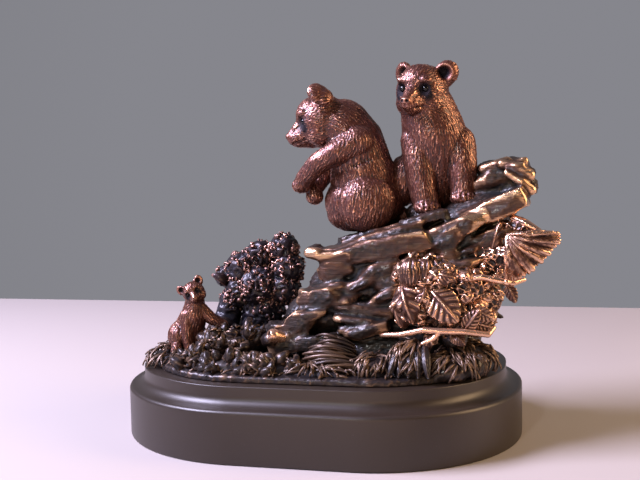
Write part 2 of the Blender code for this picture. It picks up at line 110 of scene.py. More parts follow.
class Lumps:
    """Overlapping lumps in one mesh, drawn on the grid of a frame."""

    def __init__(self, start=None):
        self.mesh = bmesh.new()
        self.frame = start or group_frame
        self.flows = []

    def point(self, place):
        return self.frame @ Vector(place)

    def way(self, direction):
        return (self.frame.to_3x3() @ Vector(direction)).normalized()

    def grid(self):
        return self.frame.to_scale()[0]

    def ball(self, place, radii, turn=(0, 0, 0), flow=None):
        if not isinstance(radii, (tuple, list)):
            radii = (radii, radii, radii)
        shape = Matrix.Translation(place) @ turn_matrix(turn) @ Matrix.Diagonal((*radii, 1))
        bmesh.ops.create_icosphere(self.mesh, subdivisions=4, radius=1, matrix=self.frame @ shape)
        if flow:
            self.lay(place, flow, max(radii))

    def lay(self, place, direction, reach):
        """Near this place the fur lies this way."""
        self.flows.append((self.point(place), self.way(direction), reach * self.grid()))

    def skin_over(self, points):
        verts = [self.mesh.verts.new(self.point(point)) for point in points]
        made = bmesh.ops.convex_hull(self.mesh, input=verts)
        inner = [vert for vert in made["geom_interior"] if isinstance(vert, bmesh.types.BMVert)]
        bmesh.ops.delete(self.mesh, geom=inner, context="VERTS")

    def hull(self, balls):
        self.skin_over([Vector((x, y, z)) + way * radius
                        for x, y, z, radius in balls for way in BALL])

    def limb(self, *stations):
        """A limb through stations, each an x, y, z and radius."""
        for start, end in zip(stations, stations[1:]):
            self.hull((start, end))
            middle = (Vector(start[:3]) + Vector(end[:3])) / 2
            self.lay(middle, Vector(end[:3]) - Vector(start[:3]), (start[3] + end[3]) / 2)


print("a ball has", len(BALL), "directions")

# %% [markdown]
# ## Stone
# Stone is built as the animals are, from lumps that are welded later. Its lumps need flat faces and
# blunt edges, which balls don't have. A skin stretched over a few points has both, and when chance
# moves the points a little, no two stones are alike.

# %% Lumps of stone
CORNER_SHARE, MIDDLE_SWELL, BROKEN_OFF = 0.80, 1.10, 0.16
THIRDS, HALVES = (-0.5, 0.0, 0.5), (-0.5, 0.5)


class Stones(Lumps):
    """Lumps, among them slabs and split stones, each drawn by a seed of its own."""

    def slab(self, place, size, turn, seed):
        """A weathered slab: a box whose corners and faces are broken off at random."""
        chance = random.Random(seed)
        shape = Matrix.Translation(place) @ turn_matrix(turn)
        points = []
        for x, y, z in product(THIRDS, THIRDS, HALVES):
            corner = CORNER_SHARE if x and y else 1.0
            swell = MIDDLE_SWELL if not x and not y else 1.0
            share = [value * (1 - BROKEN_OFF * chance.random())
                     for value in (x * corner, y * corner, z * swell)]
            if not x:
                share[0] += BROKEN_OFF * (chance.random() - 0.5)
            points.append(shape @ Vector([share[i] * size[i] for i in range(3)]))
        self.skin_over(points)

    def shard(self, place, size, turn, ends, seed):
        """A split stone, narrower at each end by its own share, with a broken front."""
        chance = random.Random(seed)
        shape = Matrix.Translation(place) @ turn_matrix(turn)
        sections = ((-0.5, 1 - ends[0]), (-0.12, 1), (0.16, 1), (0.5, 1 - ends[1]))
        shares = [(x, y * narrow ** 0.5, z * narrow)
                  for (x, narrow), y, z in product(sections, HALVES, HALVES)]
        shares += [(x, -0.60, chance.uniform(-0.25, 0.3)) for x in (-0.22, 0.24)]
        self.skin_over([shape @ Vector([share[i] * size[i] * chance.uniform(0.88, 1.06)
                                        for i in range(3)]) for share in shares])


print("a slab is stretched over", len(THIRDS) ** 2 * len(HALVES), "points")

# %% [markdown]
# ## Marks on the clay
# Nostrils, claws, creases and cupped ears are pressed in after the weld, because it would close
# anything so fine. The clay only notes them for later. It also notes where the skin is bare of fur,
# where it is dark, and where its fur is cut finer.

# %% Notes for what follows the weld
class Clay(Stones):
    """Lumps, and notes on what is done to their skin once it is welded."""

    def __init__(self, start=None):
        super().__init__(start)
        self.hollows, self.grooves = [], []
        self.bare, self.dark, self.fine = [], [], []

    def hollow(self, place, radius, push):
        self.hollows.append((self.point(place), radius * self.grid(),
                             self.frame.to_3x3() @ Vector(push)))

    def groove(self, points, radius, depth):
        """A cut along a line, pressed into the skin below it."""
        self.grooves.append(([self.point(place) for place in points], radius * self.grid(),
                             depth * self.grid()))

    def smooth_spot(self, place, radius):
        self.bare.append((self.point(place), radius * self.grid()))

    def dark_spot(self, place, radius):
        self.dark.append((self.point(place), radius * self.grid()))

    def fine_spot(self, place, radius):
        self.fine.append((self.point(place), radius * self.grid()))


print("the clay notes hollows, grooves, and bare, dark and fine spots")

# %% [markdown]
# ## Points as arrays
# A cub's skin has tens of thousands of points, and a Python loop over them would take minutes. So
# points and normals are read into arrays, changed all at once and written back.

# %% Read and write a mesh's points
def add_object(name, data):
    thing = bpy.data.objects.new(name, data)
    bpy.context.collection.objects.link(thing)
    return thing


def make_object(name, mesh):
    data = bpy.data.meshes.new(name)
    mesh.to_mesh(data)
    mesh.free()
    return add_object(name, data)


def points_of(data):
    places = np.empty(len(data.vertices) * 3)
    data.vertices.foreach_get("co", places)
    return places.reshape(-1, 3)


def normals_of(data):
    normals = np.empty(len(data.vertices) * 3)
    data.vertex_normals.foreach_get("vector", normals)
    return normals.reshape(-1, 3)


def set_points(data, places):
    data.vertices.foreach_set("co", places.ravel())
    data.update()


def push_out(thing, relief):
    """Moves each point along its normal by its own relief in millimetres."""
    places, normals = points_of(thing.data), normals_of(thing.data)
    set_points(thing.data, places + normals * (relief * MM)[:, None])


def store(thing, **values):
    """Keeps values on the points as named attributes, for the finish to read."""
    for name, numbers in values.items():
        layer = thing.data.attributes.get(name) or thing.data.attributes.new(name, "FLOAT", "POINT")
        layer.data.foreach_set("value", np.asarray(numbers, dtype=np.float32))


def finish_piece(thing, node="bear_cubs_casting"):
    """Shades a piece smooth, attaches it to the root body and hides the frame's part that it stands for.
    """
    thing.data.shade_smooth()
    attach(thing, "root")
    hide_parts(node)
    faces = sum(len(face.vertices) - 2 for face in thing.data.polygons)
    print(thing.name, "has", faces, "triangles")


print("numpy", np.__version__, "holds the points")

# %% [markdown]
# ## From lumps to skin
# A voxel remesh makes one closed skin with even faces, which fine carving needs. The Smooth
# modifier then softens the joins, and the hollows and grooves are pressed in last, so that their
# edges stay sharp.

# %% Weld the lumps and press in the marks
def falloff(distance, radius):
    share = np.clip(1 - (distance / radius) ** 2, 0, 1)
    return share * share


def segment_distance(places, start, end):
    start, run = np.array(start), np.array(end) - np.array(start)
    share = np.clip((places - start) @ run / max(run @ run, 1e-12), 0, 1)
    return np.linalg.norm(places - start - share[:, None] * run, axis=1)


def press(data, clay):
    """Pushes the skin in at the hollows and along the grooves."""
    places = points_of(data)
    for centre, radius, push in clay.hollows:
        share = falloff(np.linalg.norm(places - np.array(centre), axis=1), radius)
        places += share[:, None] * np.array(push)
    normals = normals_of(data)
    for line, radius, depth in clay.grooves:
        distance = np.min([segment_distance(places, start, end)
                           for start, end in zip(line, line[1:])], axis=0)
        places -= (falloff(distance, radius) * depth)[:, None] * normals
    set_points(data, places)


def as_modified(rough, name):
    """Puts a new object in the place of a rough one, with the mesh that its modifiers make."""
    graph = bpy.context.evaluated_depsgraph_get()
    data = bpy.data.meshes.new_from_object(rough.evaluated_get(graph))
    data.name = name
    bpy.data.objects.remove(rough)
    return add_object(name, data)


def weld(name, clay, voxel, smooth):
    """One closed skin over the clay's lumps, as an object with its mesh in place."""
    bmesh.ops.recalc_face_normals(clay.mesh, faces=clay.mesh.faces)
    rough = make_object(name + "_lumps", clay.mesh)
    remesh = rough.modifiers.new("weld", "REMESH")
    remesh.mode = "VOXEL"
    remesh.voxel_size = voxel
    soften = rough.modifiers.new("soften", "SMOOTH")
    soften.factor = 0.5
    soften.iterations = smooth
    thing = as_modified(rough, name)
    press(thing.data, clay)
    return thing


print("lumps are welded by", bpy.app.version_string)

# %% [markdown]
# ## Where strokes go
# On the real casting the fur is chased: short strokes, each a small ridge that starts flush and
# ends in a blunt tip over the next one. Hair particles would be lost in an export, and a bump
# pattern gives no broken edge against the background. So the strokes are real relief. First each
# gets a centre on the skin. The centres are points of the skin, taken in a random order, and each
# keeps its distance from the ones before. Then the notes on the clay say which way a stroke lies.

# %% Spread the strokes and find their lie
FINE_SHARE = 0.66
SPOT_CORE, SPOT_FADE = 0.7, 0.5


def spot_mask(places, spots, floor=0.0):
    """1 away from the spots, falling to the floor inside them."""
    mask = np.ones(len(places))
    for centre, radius in spots:
        distance = np.linalg.norm(places - np.array(centre), axis=1) / radius
        mask = np.minimum(mask, np.clip((distance - SPOT_CORE) / SPOT_FADE, floor, 1))
    return mask


def spread_centres(places, spacing, chance):
    """Indices of points that lie at least their own spacing away from the ones kept before."""
    cells = {}
    kept = []
    order = list(range(len(places)))
    chance.shuffle(order)
    keys = np.floor(places / spacing.max()).astype(int)
    limits = spacing * spacing
    around = list(product((-1, 0, 1), repeat=3))
    for index in order:
        x, y, z = places[index]
        a, b, c = keys[index]
        limit = limits[index]
        near = [other for i, j, k in around for other in cells.get((a + i, b + j, c + k), ())]
        if all((x - p) ** 2 + (y - q) ** 2 + (z - r) ** 2 > limit for p, q, r in near):
            cells.setdefault((a, b, c), []).append((x, y, z))
            kept.append(index)
    return np.array(kept)


def unit(vectors):
    return vectors / np.maximum(np.linalg.norm(vectors, axis=1, keepdims=True), 1e-12)


def stroke_ways(centres, normals, flows, swing):
    """The directions along and across each stroke, blended from the nearest notes on the clay."""
    lie = np.zeros_like(centres)
    for centre, direction, reach in flows:
        distance = np.linalg.norm(centres - np.array(centre), axis=1) / reach
        lie += (1 / (0.05 + distance) ** 5)[:, None] * np.array(direction)
    lie = unit(lie - np.sum(lie * normals, axis=1, keepdims=True) * normals)
    across = np.cross(normals, lie)
    return (lie * np.cos(swing) + across * np.sin(swing),
            across * np.cos(swing) - lie * np.sin(swing))


print("fine fur is cut at", FINE_SHARE, "of the usual size")

# %% [markdown]
# ## Combing
# Every point of the skin takes the height of the highest stroke over it. The height is returned
# too, so that the finish can be bright on the ridges and dark between them. The skin is moved both
# out and in, about the mean height of the strokes, so that the figure gets no thicker.

# %% Comb strokes into a skin
NEAREST_STROKES = 10
MEAN_HEIGHT, BARE_HEIGHT = 0.45, 0.55
ROOT_HEIGHT, TIP_GAIN = 0.35, 0.65


def nearest(centres, places, count):
    """For each place, the indices of the centres nearest to it."""
    tree = KDTree(len(centres))
    for index, centre in enumerate(centres):
        tree.insert(centre, index)
    tree.balance()
    return np.array([[found[1] for found in tree.find_n(place, count)] for place in places])


def stroke_height(run, side):
    """Height at a share of a stroke's length and of its half width: widest and highest near its tip."""
    inside = (run > 0) & (run < 1)
    taper = np.where(inside, np.sin(np.pi * np.clip(run, 0, 1) ** 1.35) ** 0.55, 1e-3)
    body = np.clip(1 - np.abs(side / taper), 0, 1) ** 0.8
    rise = ROOT_HEIGHT + TIP_GAIN * np.clip(run, 0, 1)
    return np.where(inside, body * rise, 0)


def comb(thing, flows, size, seed, wander, bare_mask=None, fine=()):
    """Raises overlapping strokes and returns their relief, from 0 in the gaps to 1 on a ridge.

    The size is a stroke's spacing, length, width and height."""
    spacing, length, width, height = size
    chance = random.Random(seed)
    places, normals = points_of(thing.data), normals_of(thing.data)
    share = spot_mask(places, fine) * (1 - FINE_SHARE) + FINE_SHARE
    kept = spread_centres(places, spacing * share, chance)
    swing = np.array([chance.gauss(0, wander) for _ in kept])[:, None]
    turned, across = stroke_ways(places[kept], normals[kept], flows, swing)
    vary = np.array([[chance.uniform(0.75, 1.25), chance.uniform(0.8, 1.2), chance.uniform(0.5, 1.0)]
                     for _ in kept])
    lengths, widths = vary[:, 0] * (length * share[kept]), vary[:, 1] * (width * share[kept])
    relief = np.zeros(len(places))
    for stroke in nearest(places[kept], places, NEAREST_STROKES).T:
        away = places - places[kept][stroke]
        run = np.sum(away * turned[stroke], axis=1) / lengths[stroke] + 0.5
        side = np.sum(away * across[stroke], axis=1) / (widths[stroke] / 2)
        relief = np.maximum(relief, stroke_height(run, side) * vary[stroke, 2])
    mask = np.ones(len(places)) if bare_mask is None else bare_mask
    push_out(thing, (relief - MEAN_HEIGHT) * (height / MM) * mask)
    return relief * mask + BARE_HEIGHT * (1 - mask)


print("a point looks at its", NEAREST_STROKES, "nearest strokes")

# %% [markdown]
# ## Wear and patina
# Plating is rubbed bright on edges and stays dark in crevices. Baked curvature or an occlusion
# node could give the same. Here each skin is compared with a smoothed copy of itself, because the
# difference is a plain number per point: positive on an edge, negative in a crevice.

# %% Measure edges and crevices
EDGE_RANGE = 4


def smoothed(data, values, steps):
    """Each point's values averaged with its neighbours', this many times."""
    ends = np.empty(len(data.edges) * 2, dtype=np.int64)
    data.edges.foreach_get("vertices", ends)
    first, second = ends.reshape(-1, 2).T
    size = len(values)
    links = np.maximum(np.bincount(first, minlength=size) + np.bincount(second, minlength=size), 1)
    for _ in range(steps):
        values = np.stack([(np.bincount(first, column[second], size)
                            + np.bincount(second, column[first], size)) / links
                           for column in values.T], axis=1)
    return values


def edges_and_crevices(thing, steps):
    """From 0 in a crevice to 1 on an edge, with 0.5 on an even face."""
    data = thing.data
    places, normals = points_of(data), normals_of(data)
    bulge = np.sum((places - smoothed(data, places, steps)) * normals, axis=1)
    return np.clip(0.5 + bulge / (EDGE_RANGE * bulge.std()), 0, 1)


print("edges are rated over", EDGE_RANGE, "standard deviations")

# %% [markdown]
# ## Roughness of stone
# Two patterns roughen the rock. Noise gives grain and long streaks, and crumbles the bush as well.
# The squared distance to the nearest of many scattered seeds gives shallow hollows that meet in
# sharp ridges, as where a stone was split.

# %% Noise and chips
def scaled_rows(places, step, seed):
    """The places on a pattern's own grid, moved to a part of it that the seed picks."""
    shift = Vector((seed * 7.3, seed * 3.1, seed * 5.7))
    return [Vector(row) + shift for row in places / (np.array(step) * MM)]


def rock_noise(places, step, seed, octaves=1):
    """Noise from -1 to 1, stretched by a step in millimetres for each axis."""
    rows = scaled_rows(places, step, seed)
    if octaves == 1:
        return np.array([noise.noise(row) for row in rows])
    return np.array([noise.fractal(row, 0.6, 2.1, octaves) for row in rows])


def chips(places, step, seed):
    """Hollows that meet in sharp ridges: 0 in the middle of each."""
    return np.array([noise.voronoi(row)[0][0] ** 2 for row in scaled_rows(places, step, seed)])


print("noise at the origin is", noise.noise(Vector((0, 0, 0))))

# %% [markdown]
# ## A cub's head
# All heads share one recipe on a grid where the skull's radius is about 11: skull, forehead,
# muzzle, nose, cheeks, brows and cupped ears. A head is turned by three angles. The eyes are
# glossy black beads in dark sockets, so they are pieces of their own and are placed by the same
# matrix. The fur runs away from the nose on all sides.

# %% The parts of a head
HEAD_GRID = 11.2
EYE_RADIUS = 1.5
NOSE = Vector((15.4, 0, -0.4))
eyes = []


def lay_from_nose(clay, places, reach):
    for place in places:
        clay.lay(place, Vector(place) - NOSE, reach)


def shape_skull(clay):
    clay.ball((0, 0, 0.5), (11.3, 10.6, 11.0))
    clay.ball((2.5, 0, 4.0), (8.0, 8.2, 8.0))
    clay.hull(((6.0, 0, -2.2, 6.4), (10.5, 0, -2.2, 4.6)))
    clay.hull(((10.5, 0, -2.2, 4.6), (14.0, 0, -1.7, 3.0)))
    clay.hull(((7.5, 0, 2.0, 4.0), (14.8, 0, -0.3, 2.1)))
    clay.ball((12.7, 0, -1.9), (3.1, 4.2, 2.9))
    clay.ball((16.0, 0, -0.1), (1.4, 2.2, 1.4))
    clay.ball((12.0, 0, -4.6), (2.8, 2.5, 1.7))
    lay_from_nose(clay, ((9, 0, 7), (2, 0, 12), (-6, 0, 10), (4, 0, -9), (-6, 0, -6)), 5)
    clay.lay((12.5, 0, 2.5), (-1, 0, 0.7), 2.5)


def shape_cheek(clay, side):
    clay.ball((2.4, side * 5.6, -3.4), (6.2, 4.7, 5.7))
    clay.ball((6.4, side * 4.6, 6.4), (2.9, 3.0, 2.1))
    lay_from_nose(clay, [(x, side * y, z) for x, y, z in
                         ((7, 8, 0), (4, 9, -5), (0, 11, 2), (-5, 10, 2), (2, 8, 8), (9, 5, -5))], 4)


def shape_ear(clay, side, shift, turn):
    """A cupped ear, in a frame of its own."""
    head = clay.frame
    place = Matrix.Translation((-3.6 + shift[0], side * 9.6, 7.9 + shift[1]))
    clay.frame = head @ place @ turn_matrix((side * -32, turn[0], side * turn[1]))
    clay.ball((0, 0, 0), (2.6, 4.9, 5.1))
    clay.ball((-0.6, 0, -2.6), (2.6, 4.2, 3.8))
    clay.lay((0, 0, 3), (0, 0, 1), 3)
    clay.hollow((2.4, side * -1.1, -0.4), 3.7, (-3.6, 0, 0))
    clay.dark_spot((0.2, side * -1.1, -0.5), 2.9)
    clay.smooth_spot((1.2, 0, 0.2), 3.9)
    clay.frame = head


def shape_eye_and_nostril(clay, side):
    clay.hollow((9.8, side * 4.9, 3.0), 3.6, (-2.0, side * -0.6, 0))
    clay.dark_spot((8.2, side * 5.2, 2.6), 3.3)
    clay.dark_spot((8.0, side * 6.4, 0.4), 2.2)
    clay.smooth_spot((8.6, side * 4.9, 3.0), 2.4)
    clay.hollow((17.4, side * 1.1, -0.1), 1.0, (-0.9, 0, 0))
    clay.dark_spot((16.8, side * 1.1, -0.1), 0.8)
    clay.groove(((15.6, side * 0.2, -3.0), (13.4, side * 3.2, -4.0), (10.0, side * 4.8, -3.8)), 0.9, 0.8)
    eyes.append((clay.point((7.2, side * 4.85, 3.0)), EYE_RADIUS * clay.grid()))


print("heads are drawn on a grid of", HEAD_GRID)

# %% [markdown]
# ## Setting a head on a neck
# The parts are drawn upright and facing forward, and only the frame is turned. A finished head
# could be turned instead, but then its marks and eyes would have to be turned with it.

# %% Model a head
def model_head(clay, place, angles, size, ear_shift=(0, 0), ear_turn=(-8, 28)):
    """A head at a place, turned by its angles of yaw, pitch and roll."""
    yaw, pitch, roll = [math.radians(angle) for angle in angles]
    scale = size / HEAD_GRID
    body = clay.frame
    clay.frame = (body @ Matrix.Translation(place) @ Matrix.Rotation(yaw, 4, "Z")
                  @ Matrix.Rotation(pitch, 4, "Y") @ Matrix.Rotation(roll, 4, "X")
                  @ Matrix.Diagonal((scale, scale, scale, 1)))
    shape_skull(clay)
    for side in (-1, 1):
        shape_cheek(clay, side)
        shape_ear(clay, side, ear_shift, ear_turn)
        shape_eye_and_nostril(clay, side)
    clay.groove(((17.2, 0, -1.6), (15.6, 0, -3.2)), 0.7, 0.4)
    clay.smooth_spot((15.6, 0, -0.6), 3.0)
    clay.fine_spot((5, 0, 0), 15)
    clay.frame = body


print("eyes noted so far:", len(eyes))

# %% [markdown]
# ## A cub's fur
# All cubs are welded and combed by one function. The strokes of the small cub are smaller, as its
# body is, and its skin is welded at a finer step to hold them.

# %% Weld and comb a cub
CUB_VOXEL = 0.41 * MM
SMALL_CUB_VOXEL = 0.31 * MM
FUR_SPACING = FUR_WIDTH = 0.84 * MM
FUR_LENGTH = 3.8 * MM
FUR_HEIGHT = 0.70 * MM
FUR_WANDER = 0.16
BARE_SHARE = 0.12


def furred(name, clay, seed, voxel=CUB_VOXEL, scale=1.0):
    """Welds a cub and combs its fur, low on its face and lowest on its nose and ears."""
    thing = weld(name, clay, voxel, 6)
    bare_mask = spot_mask(points_of(thing.data), clay.bare, BARE_SHARE)
    size = [length * scale for length in (FUR_SPACING, FUR_LENGTH, FUR_WIDTH, FUR_HEIGHT)]
    relief = comb(thing, clay.flows, size, seed, FUR_WANDER, bare_mask, clay.fine)
    dark = 1 - spot_mask(points_of(thing.data), clay.dark)
    store(thing, height=0.62 * relief + 0.38 * edges_and_crevices(thing, 6), dark=dark)
    finish_piece(thing)
    return thing


print("a stroke of fur is", FUR_LENGTH / MM, "mm long and", FUR_WIDTH / MM, "mm wide")

# %% [markdown]
# ## The left cub
# It sits side-on and looks along the ledge, with its forelegs crossed in front of its chest. The
# heavy haunch is a lump of its own, because on the casting it stands out with a crease round it.

# %% Model the left cub
left_clay = Clay(figure_frame((16, 3, 53.7), 190.6))
left_clay.ball((-2.2, 0, 12.3), (16.9, 13.5, 13.0), flow=(-0.2, 0, -1))
left_clay.ball((-2.0, 0, 22), (14.3, 13.0, 13.0), flow=(-0.3, 0, -1))
left_clay.limb((12.4, 0, 45, 10.0), (6.6, 0, 43.4, 11.9), (2.0, 0, 36.8, 12.6), (-2, 0, 24, 13.0))
left_clay.ball((3.0, 1.0, 7.4), (10.8, 9.0, 7.6), flow=(0.3, 0, -1))
left_clay.ball((-3.0, 10.6, 11.6), (11.8, 6.6, 11.6), flow=(0.2, 0, -1))
left_clay.ball((1.5, -9.0, 10.2), (12.2, 6.0, 10.5), flow=(0, 0, -1))
left_clay.ball((-18.0, 0, 6), (3.2, 3.4, 3.6), flow=(-0.5, 0, -1))
left_clay.limb((0.5, 8.0, 37, 7.2), (9, 10.0, 33.0, 5.2), (17, 7.5, 28.4, 4.5),
               (22.4, 4.0, 22.8, 3.9), (24.0, 2.6, 20.0, 3.7))
left_clay.limb((0.5, -8.0, 36, 7.0), (9, -9.5, 29.5, 5.0), (16, -7.0, 23.0, 4.2),
               (19.4, -2.2, 17.6, 3.6), (19.0, -1.0, 15.4, 3.6))
for place, way in (((-14, 0, 30), (-0.3, 0, -1)), ((-16, 0, 15), (0.1, 0, -1)),
                   ((-4, 0, 50), (-1, 0, -0.6)), ((-9, 0, 42), (-0.5, 0, -1)),
                   ((0, 14, 22), (-0.3, 0, -1)), ((10, 12, 12), (0.1, 0, -1))):
    left_clay.lay(place, way, 6)
left_clay.groove(((14, 9, 25.5), (8, 13, 27.0), (1, 14, 28.0), (-6, 13.5, 31)), 2.4, 1.3)
left_clay.groove(((9.6, 11, 10), (8.6, 12, 17), (4, 14, 22.0), (-3, 15, 24.0), (-10, 13, 22)), 2.0, 1.1)
left_clay.ball((24.4, 2.6, 19.6), (3.9, 4.0, 3.4))
left_clay.ball((19.0, -1.0, 14.6), (3.8, 3.8, 3.4))
for step in range(3):
    left_clay.groove(((27.4, 4.4 - 1.6 * step, 21), (26.4, 5.0 - 1.6 * step, 16.5)), 0.8, 0.7)
    left_clay.groove(((21.2, 1.8 - 1.6 * step, 15), (19.6, 2.2 - 1.6 * step, 11.5)), 0.8, 0.7)
model_head(left_clay, (14.5, 0, 45.6), (0, 20, 0), HEAD_GRID, (1.3, 3.0), (16, -50))
left_cub = furred("left_cub", left_clay, 11)

# %% [markdown]
# ## The right cub
# It faces the front on two straight forelegs and turns its head to the other cub. Its toes are cut
# by short claw lines.

# %% Model the right cub
right_clay = Clay(figure_frame((50, 6, 59.7), 279))
right_clay.ball((-8, -2, 14), (13.5, 15.5, 13.5), flow=(-0.2, 0, -1))
right_clay.limb((2.5, -6.4, 46, 10.8), (1.5, -5.0, 42.5, 11.4), (0, -2.9, 34, 13.2),
                (-2.5, -2.2, 28, 14.0), (-7, -2, 17, 14.2))
right_clay.ball((-5, -15.6, 14.6), (10.0, 6.6, 10.8), flow=(0, -0.3, -1))
right_clay.ball((-6, 8.2, 13), (10.5, 6.6, 11.0), flow=(0, 0.3, -1))
right_clay.limb((2.0, -9.2, 31, 7.6), (5.2, -9.2, 21, 6.2), (7.5, -7.6, 9, 5.5), (8.4, -6.7, 5, 5.0))
right_clay.ball((10.2, -6.4, 3.8), (5.6, 5.6, 3.2), flow=(0.6, 0, -1))
right_clay.limb((2.0, 6.2, 29.5, 7.8), (5.2, 8.2, 21, 6.2), (7.2, 8.4, 12, 5.4), (8.0, 8.2, 9, 5.0))
right_clay.ball((9.8, 8.2, 7.4), (5.4, 5.4, 3.1), flow=(0.6, 0, -1))
for place, way in (((12, -2, 30), (0.1, 0, -1)), ((-14, -2, 30), (0, 0, -1)),
                   ((-20, -2, 16), (0, 0, -1)), ((-8, -5, 46), (-0.4, 0, -1))):
    right_clay.lay(place, way, 6)
for step in range(4):
    right_clay.groove(((14.0, -9.8 + 2.2 * step, 5.6), (17.0, -9.8 + 2.2 * step, 2.0)), 0.9, 0.9)
    right_clay.groove(((13.6, 4.8 + 2.2 * step, 9.2), (16.4, 4.8 + 2.2 * step, 5.6)), 0.9, 0.9)
model_head(right_clay, (3.6, -7.5, 50.5), (-28.5, 14, -3), HEAD_GRID, (0, -0.6))
right_cub = furred("right_cub", right_clay, 12)

# %% [markdown]
# ## The small cub
# It sits low at the left, its head tilted, and one foreleg reaches across to the plants. It is less
# than half as tall as the others. Its foot has four toes, each a ball, with a cut between each two.

# %% Model the small cub
SMALL_HEAD = 4.9
TOES, TOE_GAP, TOE_RADIUS = 4, 1.0, 0.8
FOOT = Vector((6.6, -5.4, 1.8))

small_clay = Clay(figure_frame((-54, -18, 4.7), 291))
small_clay.ball((-2, -1, 7), (7.0, 7.0, 7.0), flow=(0, 0, -1))
small_clay.limb((0.6, 2.7, 23, 4.0), (0.4, 2.8, 20, 4.1), (0, 2.4, 15, 5.5), (-1.5, 0, 9, 6.4))
small_clay.ball((-0.5, -4.3, 6.4), (6.0, 4.6, 6.0), flow=(0, -0.2, -1))
small_clay.ball((-1.5, 4.2, 5.4), (5.5, 4.0, 5.0), flow=(0, 0.2, -1))
small_clay.ball((4.0, -5.2, 2.6), (3.8, 2.3, 2.2), flow=(1, 0, 0))
small_clay.limb((2.0, -0.6, 15, 2.9), (4.2, -0.8, 8, 2.4), (5.0, 0.0, 1.5, 2.1))
small_clay.limb((1.0, 5.4, 17, 3.2), (2.0, 9.6, 13.4, 2.5), (2.6, 14.4, 10.8, 2.2))
for step in range(TOES):
    out = step - (TOES - 1) / 2
    small_clay.ball(FOOT + Vector((0, out * TOE_GAP, -0.2 * abs(out))), TOE_RADIUS)
for step in range(TOES - 1):
    start = FOOT + Vector((0.9 * TOE_RADIUS, (step - (TOES - 2) / 2) * TOE_GAP, 0))
    small_clay.groove((start, start + Vector((-1.8, 0, 0.8)) * TOE_RADIUS), 0.55, 0.5)
model_head(small_clay, (1.0, 2.6, 24.5), (0, 8, 30), SMALL_HEAD)
small_cub = furred("small_cub", small_clay, 13, SMALL_CUB_VOXEL, 0.80)

# %% [markdown]
# ## Eyes
# Each eye is a bead of gloss black. They were noted when the heads were made, and all six are one
# small mesh.

# %% Set the eyes
eye_mesh = bmesh.new()
for centre, radius in eyes:
    bmesh.ops.create_uvsphere(eye_mesh, u_segments=24, v_segments=16, radius=radius,
                              matrix=Matrix.Translation(centre))
eye_beads = make_object("eye_beads", eye_mesh)
finish_piece(eye_beads)

# %% [markdown]
# ## The rock
# The ledge is built of worn layers that rise to the right, with dark grainy crevices between them.
# It could be cut from one dense block. Here it is laid like a dry wall, because each layer then
# keeps its own place and slope: balls fill the core, broken slabs make the broad steps, and round
# stones lie on the ledge.

# %% Core, slabs and round stones
BEDDING_RISE = 13
ROCK_CORE = (
    # x, y, z, then half length, half depth and half height, then the rise in degrees
    (27, 2, 8, 40, 32, 14, 4),
    (33, 2, 24, 36, 27, 14, 10),
    (40, 2, 40, 33, 22, 12, 14),
    (20, 1, 43, 22, 15, 9, 8),
    (14, -2, 33, 19, 17, 10, 4),
    (6, -8, 20, 20, 17, 11, 0),
    (64, 3, 60, 20, 16, 9, 20),
)
FRONT_SLABS = (
    # x, y, z of the middle, then length, depth and thickness, then the rise in degrees
    (33, 3, 53.8, 64, 44, 8.5, 14),
    (76, 4, 74.0, 25, 26, 13, 22),
    (72, -9, 64.0, 34, 18, 7.5, 25),
    (46, -17, 59.6, 24, 12, 4.5, 14),
    (31, -16, 50.6, 34, 16, 8.5, 16),
    (13, -14, 46.6, 27, 16, 5.5, 8),
    (23, -16, 40.0, 38, 20, 7.5, 12),
    (16, -17, 32.2, 40, 22, 8.0, 8),
    (5, -23, 27.6, 23, 15, 9.0, -6),
    (24, -20, 23.4, 30, 22, 10.0, 6),
    (20, -28, 17.6, 18, 10, 4.0, 4),
    (59, -14, 40.6, 28, 18, 7.5, 14),
    (50, -13, 50.0, 15, 14, 11.0, 20),
    (-9, -26, 13.4, 20, 17, 12.0, -10),
    (4, -30, 12.0, 20, 12, 7.0, 8),
)
LEDGE_STONES = (
    # x, y, z of the middle, then the three half sizes
    (0.6, -13, 46.4, 3.6, 4.0, 3.2),
    (45, 0, 57.6, 8.0, 8.0, 4.0),
    (42, 4, 61.2, 7.5, 9.0, 4.2),
    (71.0, 4, 77.8, 7.0, 7.0, 4.8),
    (57, -16, 47.6, 4.6, 4.0, 3.6),
    (63, -14, 50.6, 4.0, 4.0, 3.2),
    (78.5, 4, 81.4, 3.4, 4.6, 2.6),
    (84.5, 0, 77.0, 4.2, 4.4, 2.8),
    (86.6, -1, 71.8, 2.6, 4.0, 4.0),
    (58, -27, 13.6, 5.0, 4.6, 4.0),
    (-16, -18, 10.0, 8.0, 8.0, 8.0),
)
print("the rock has", len(FRONT_SLABS), "slabs and", len(LEDGE_STONES), "round stones")
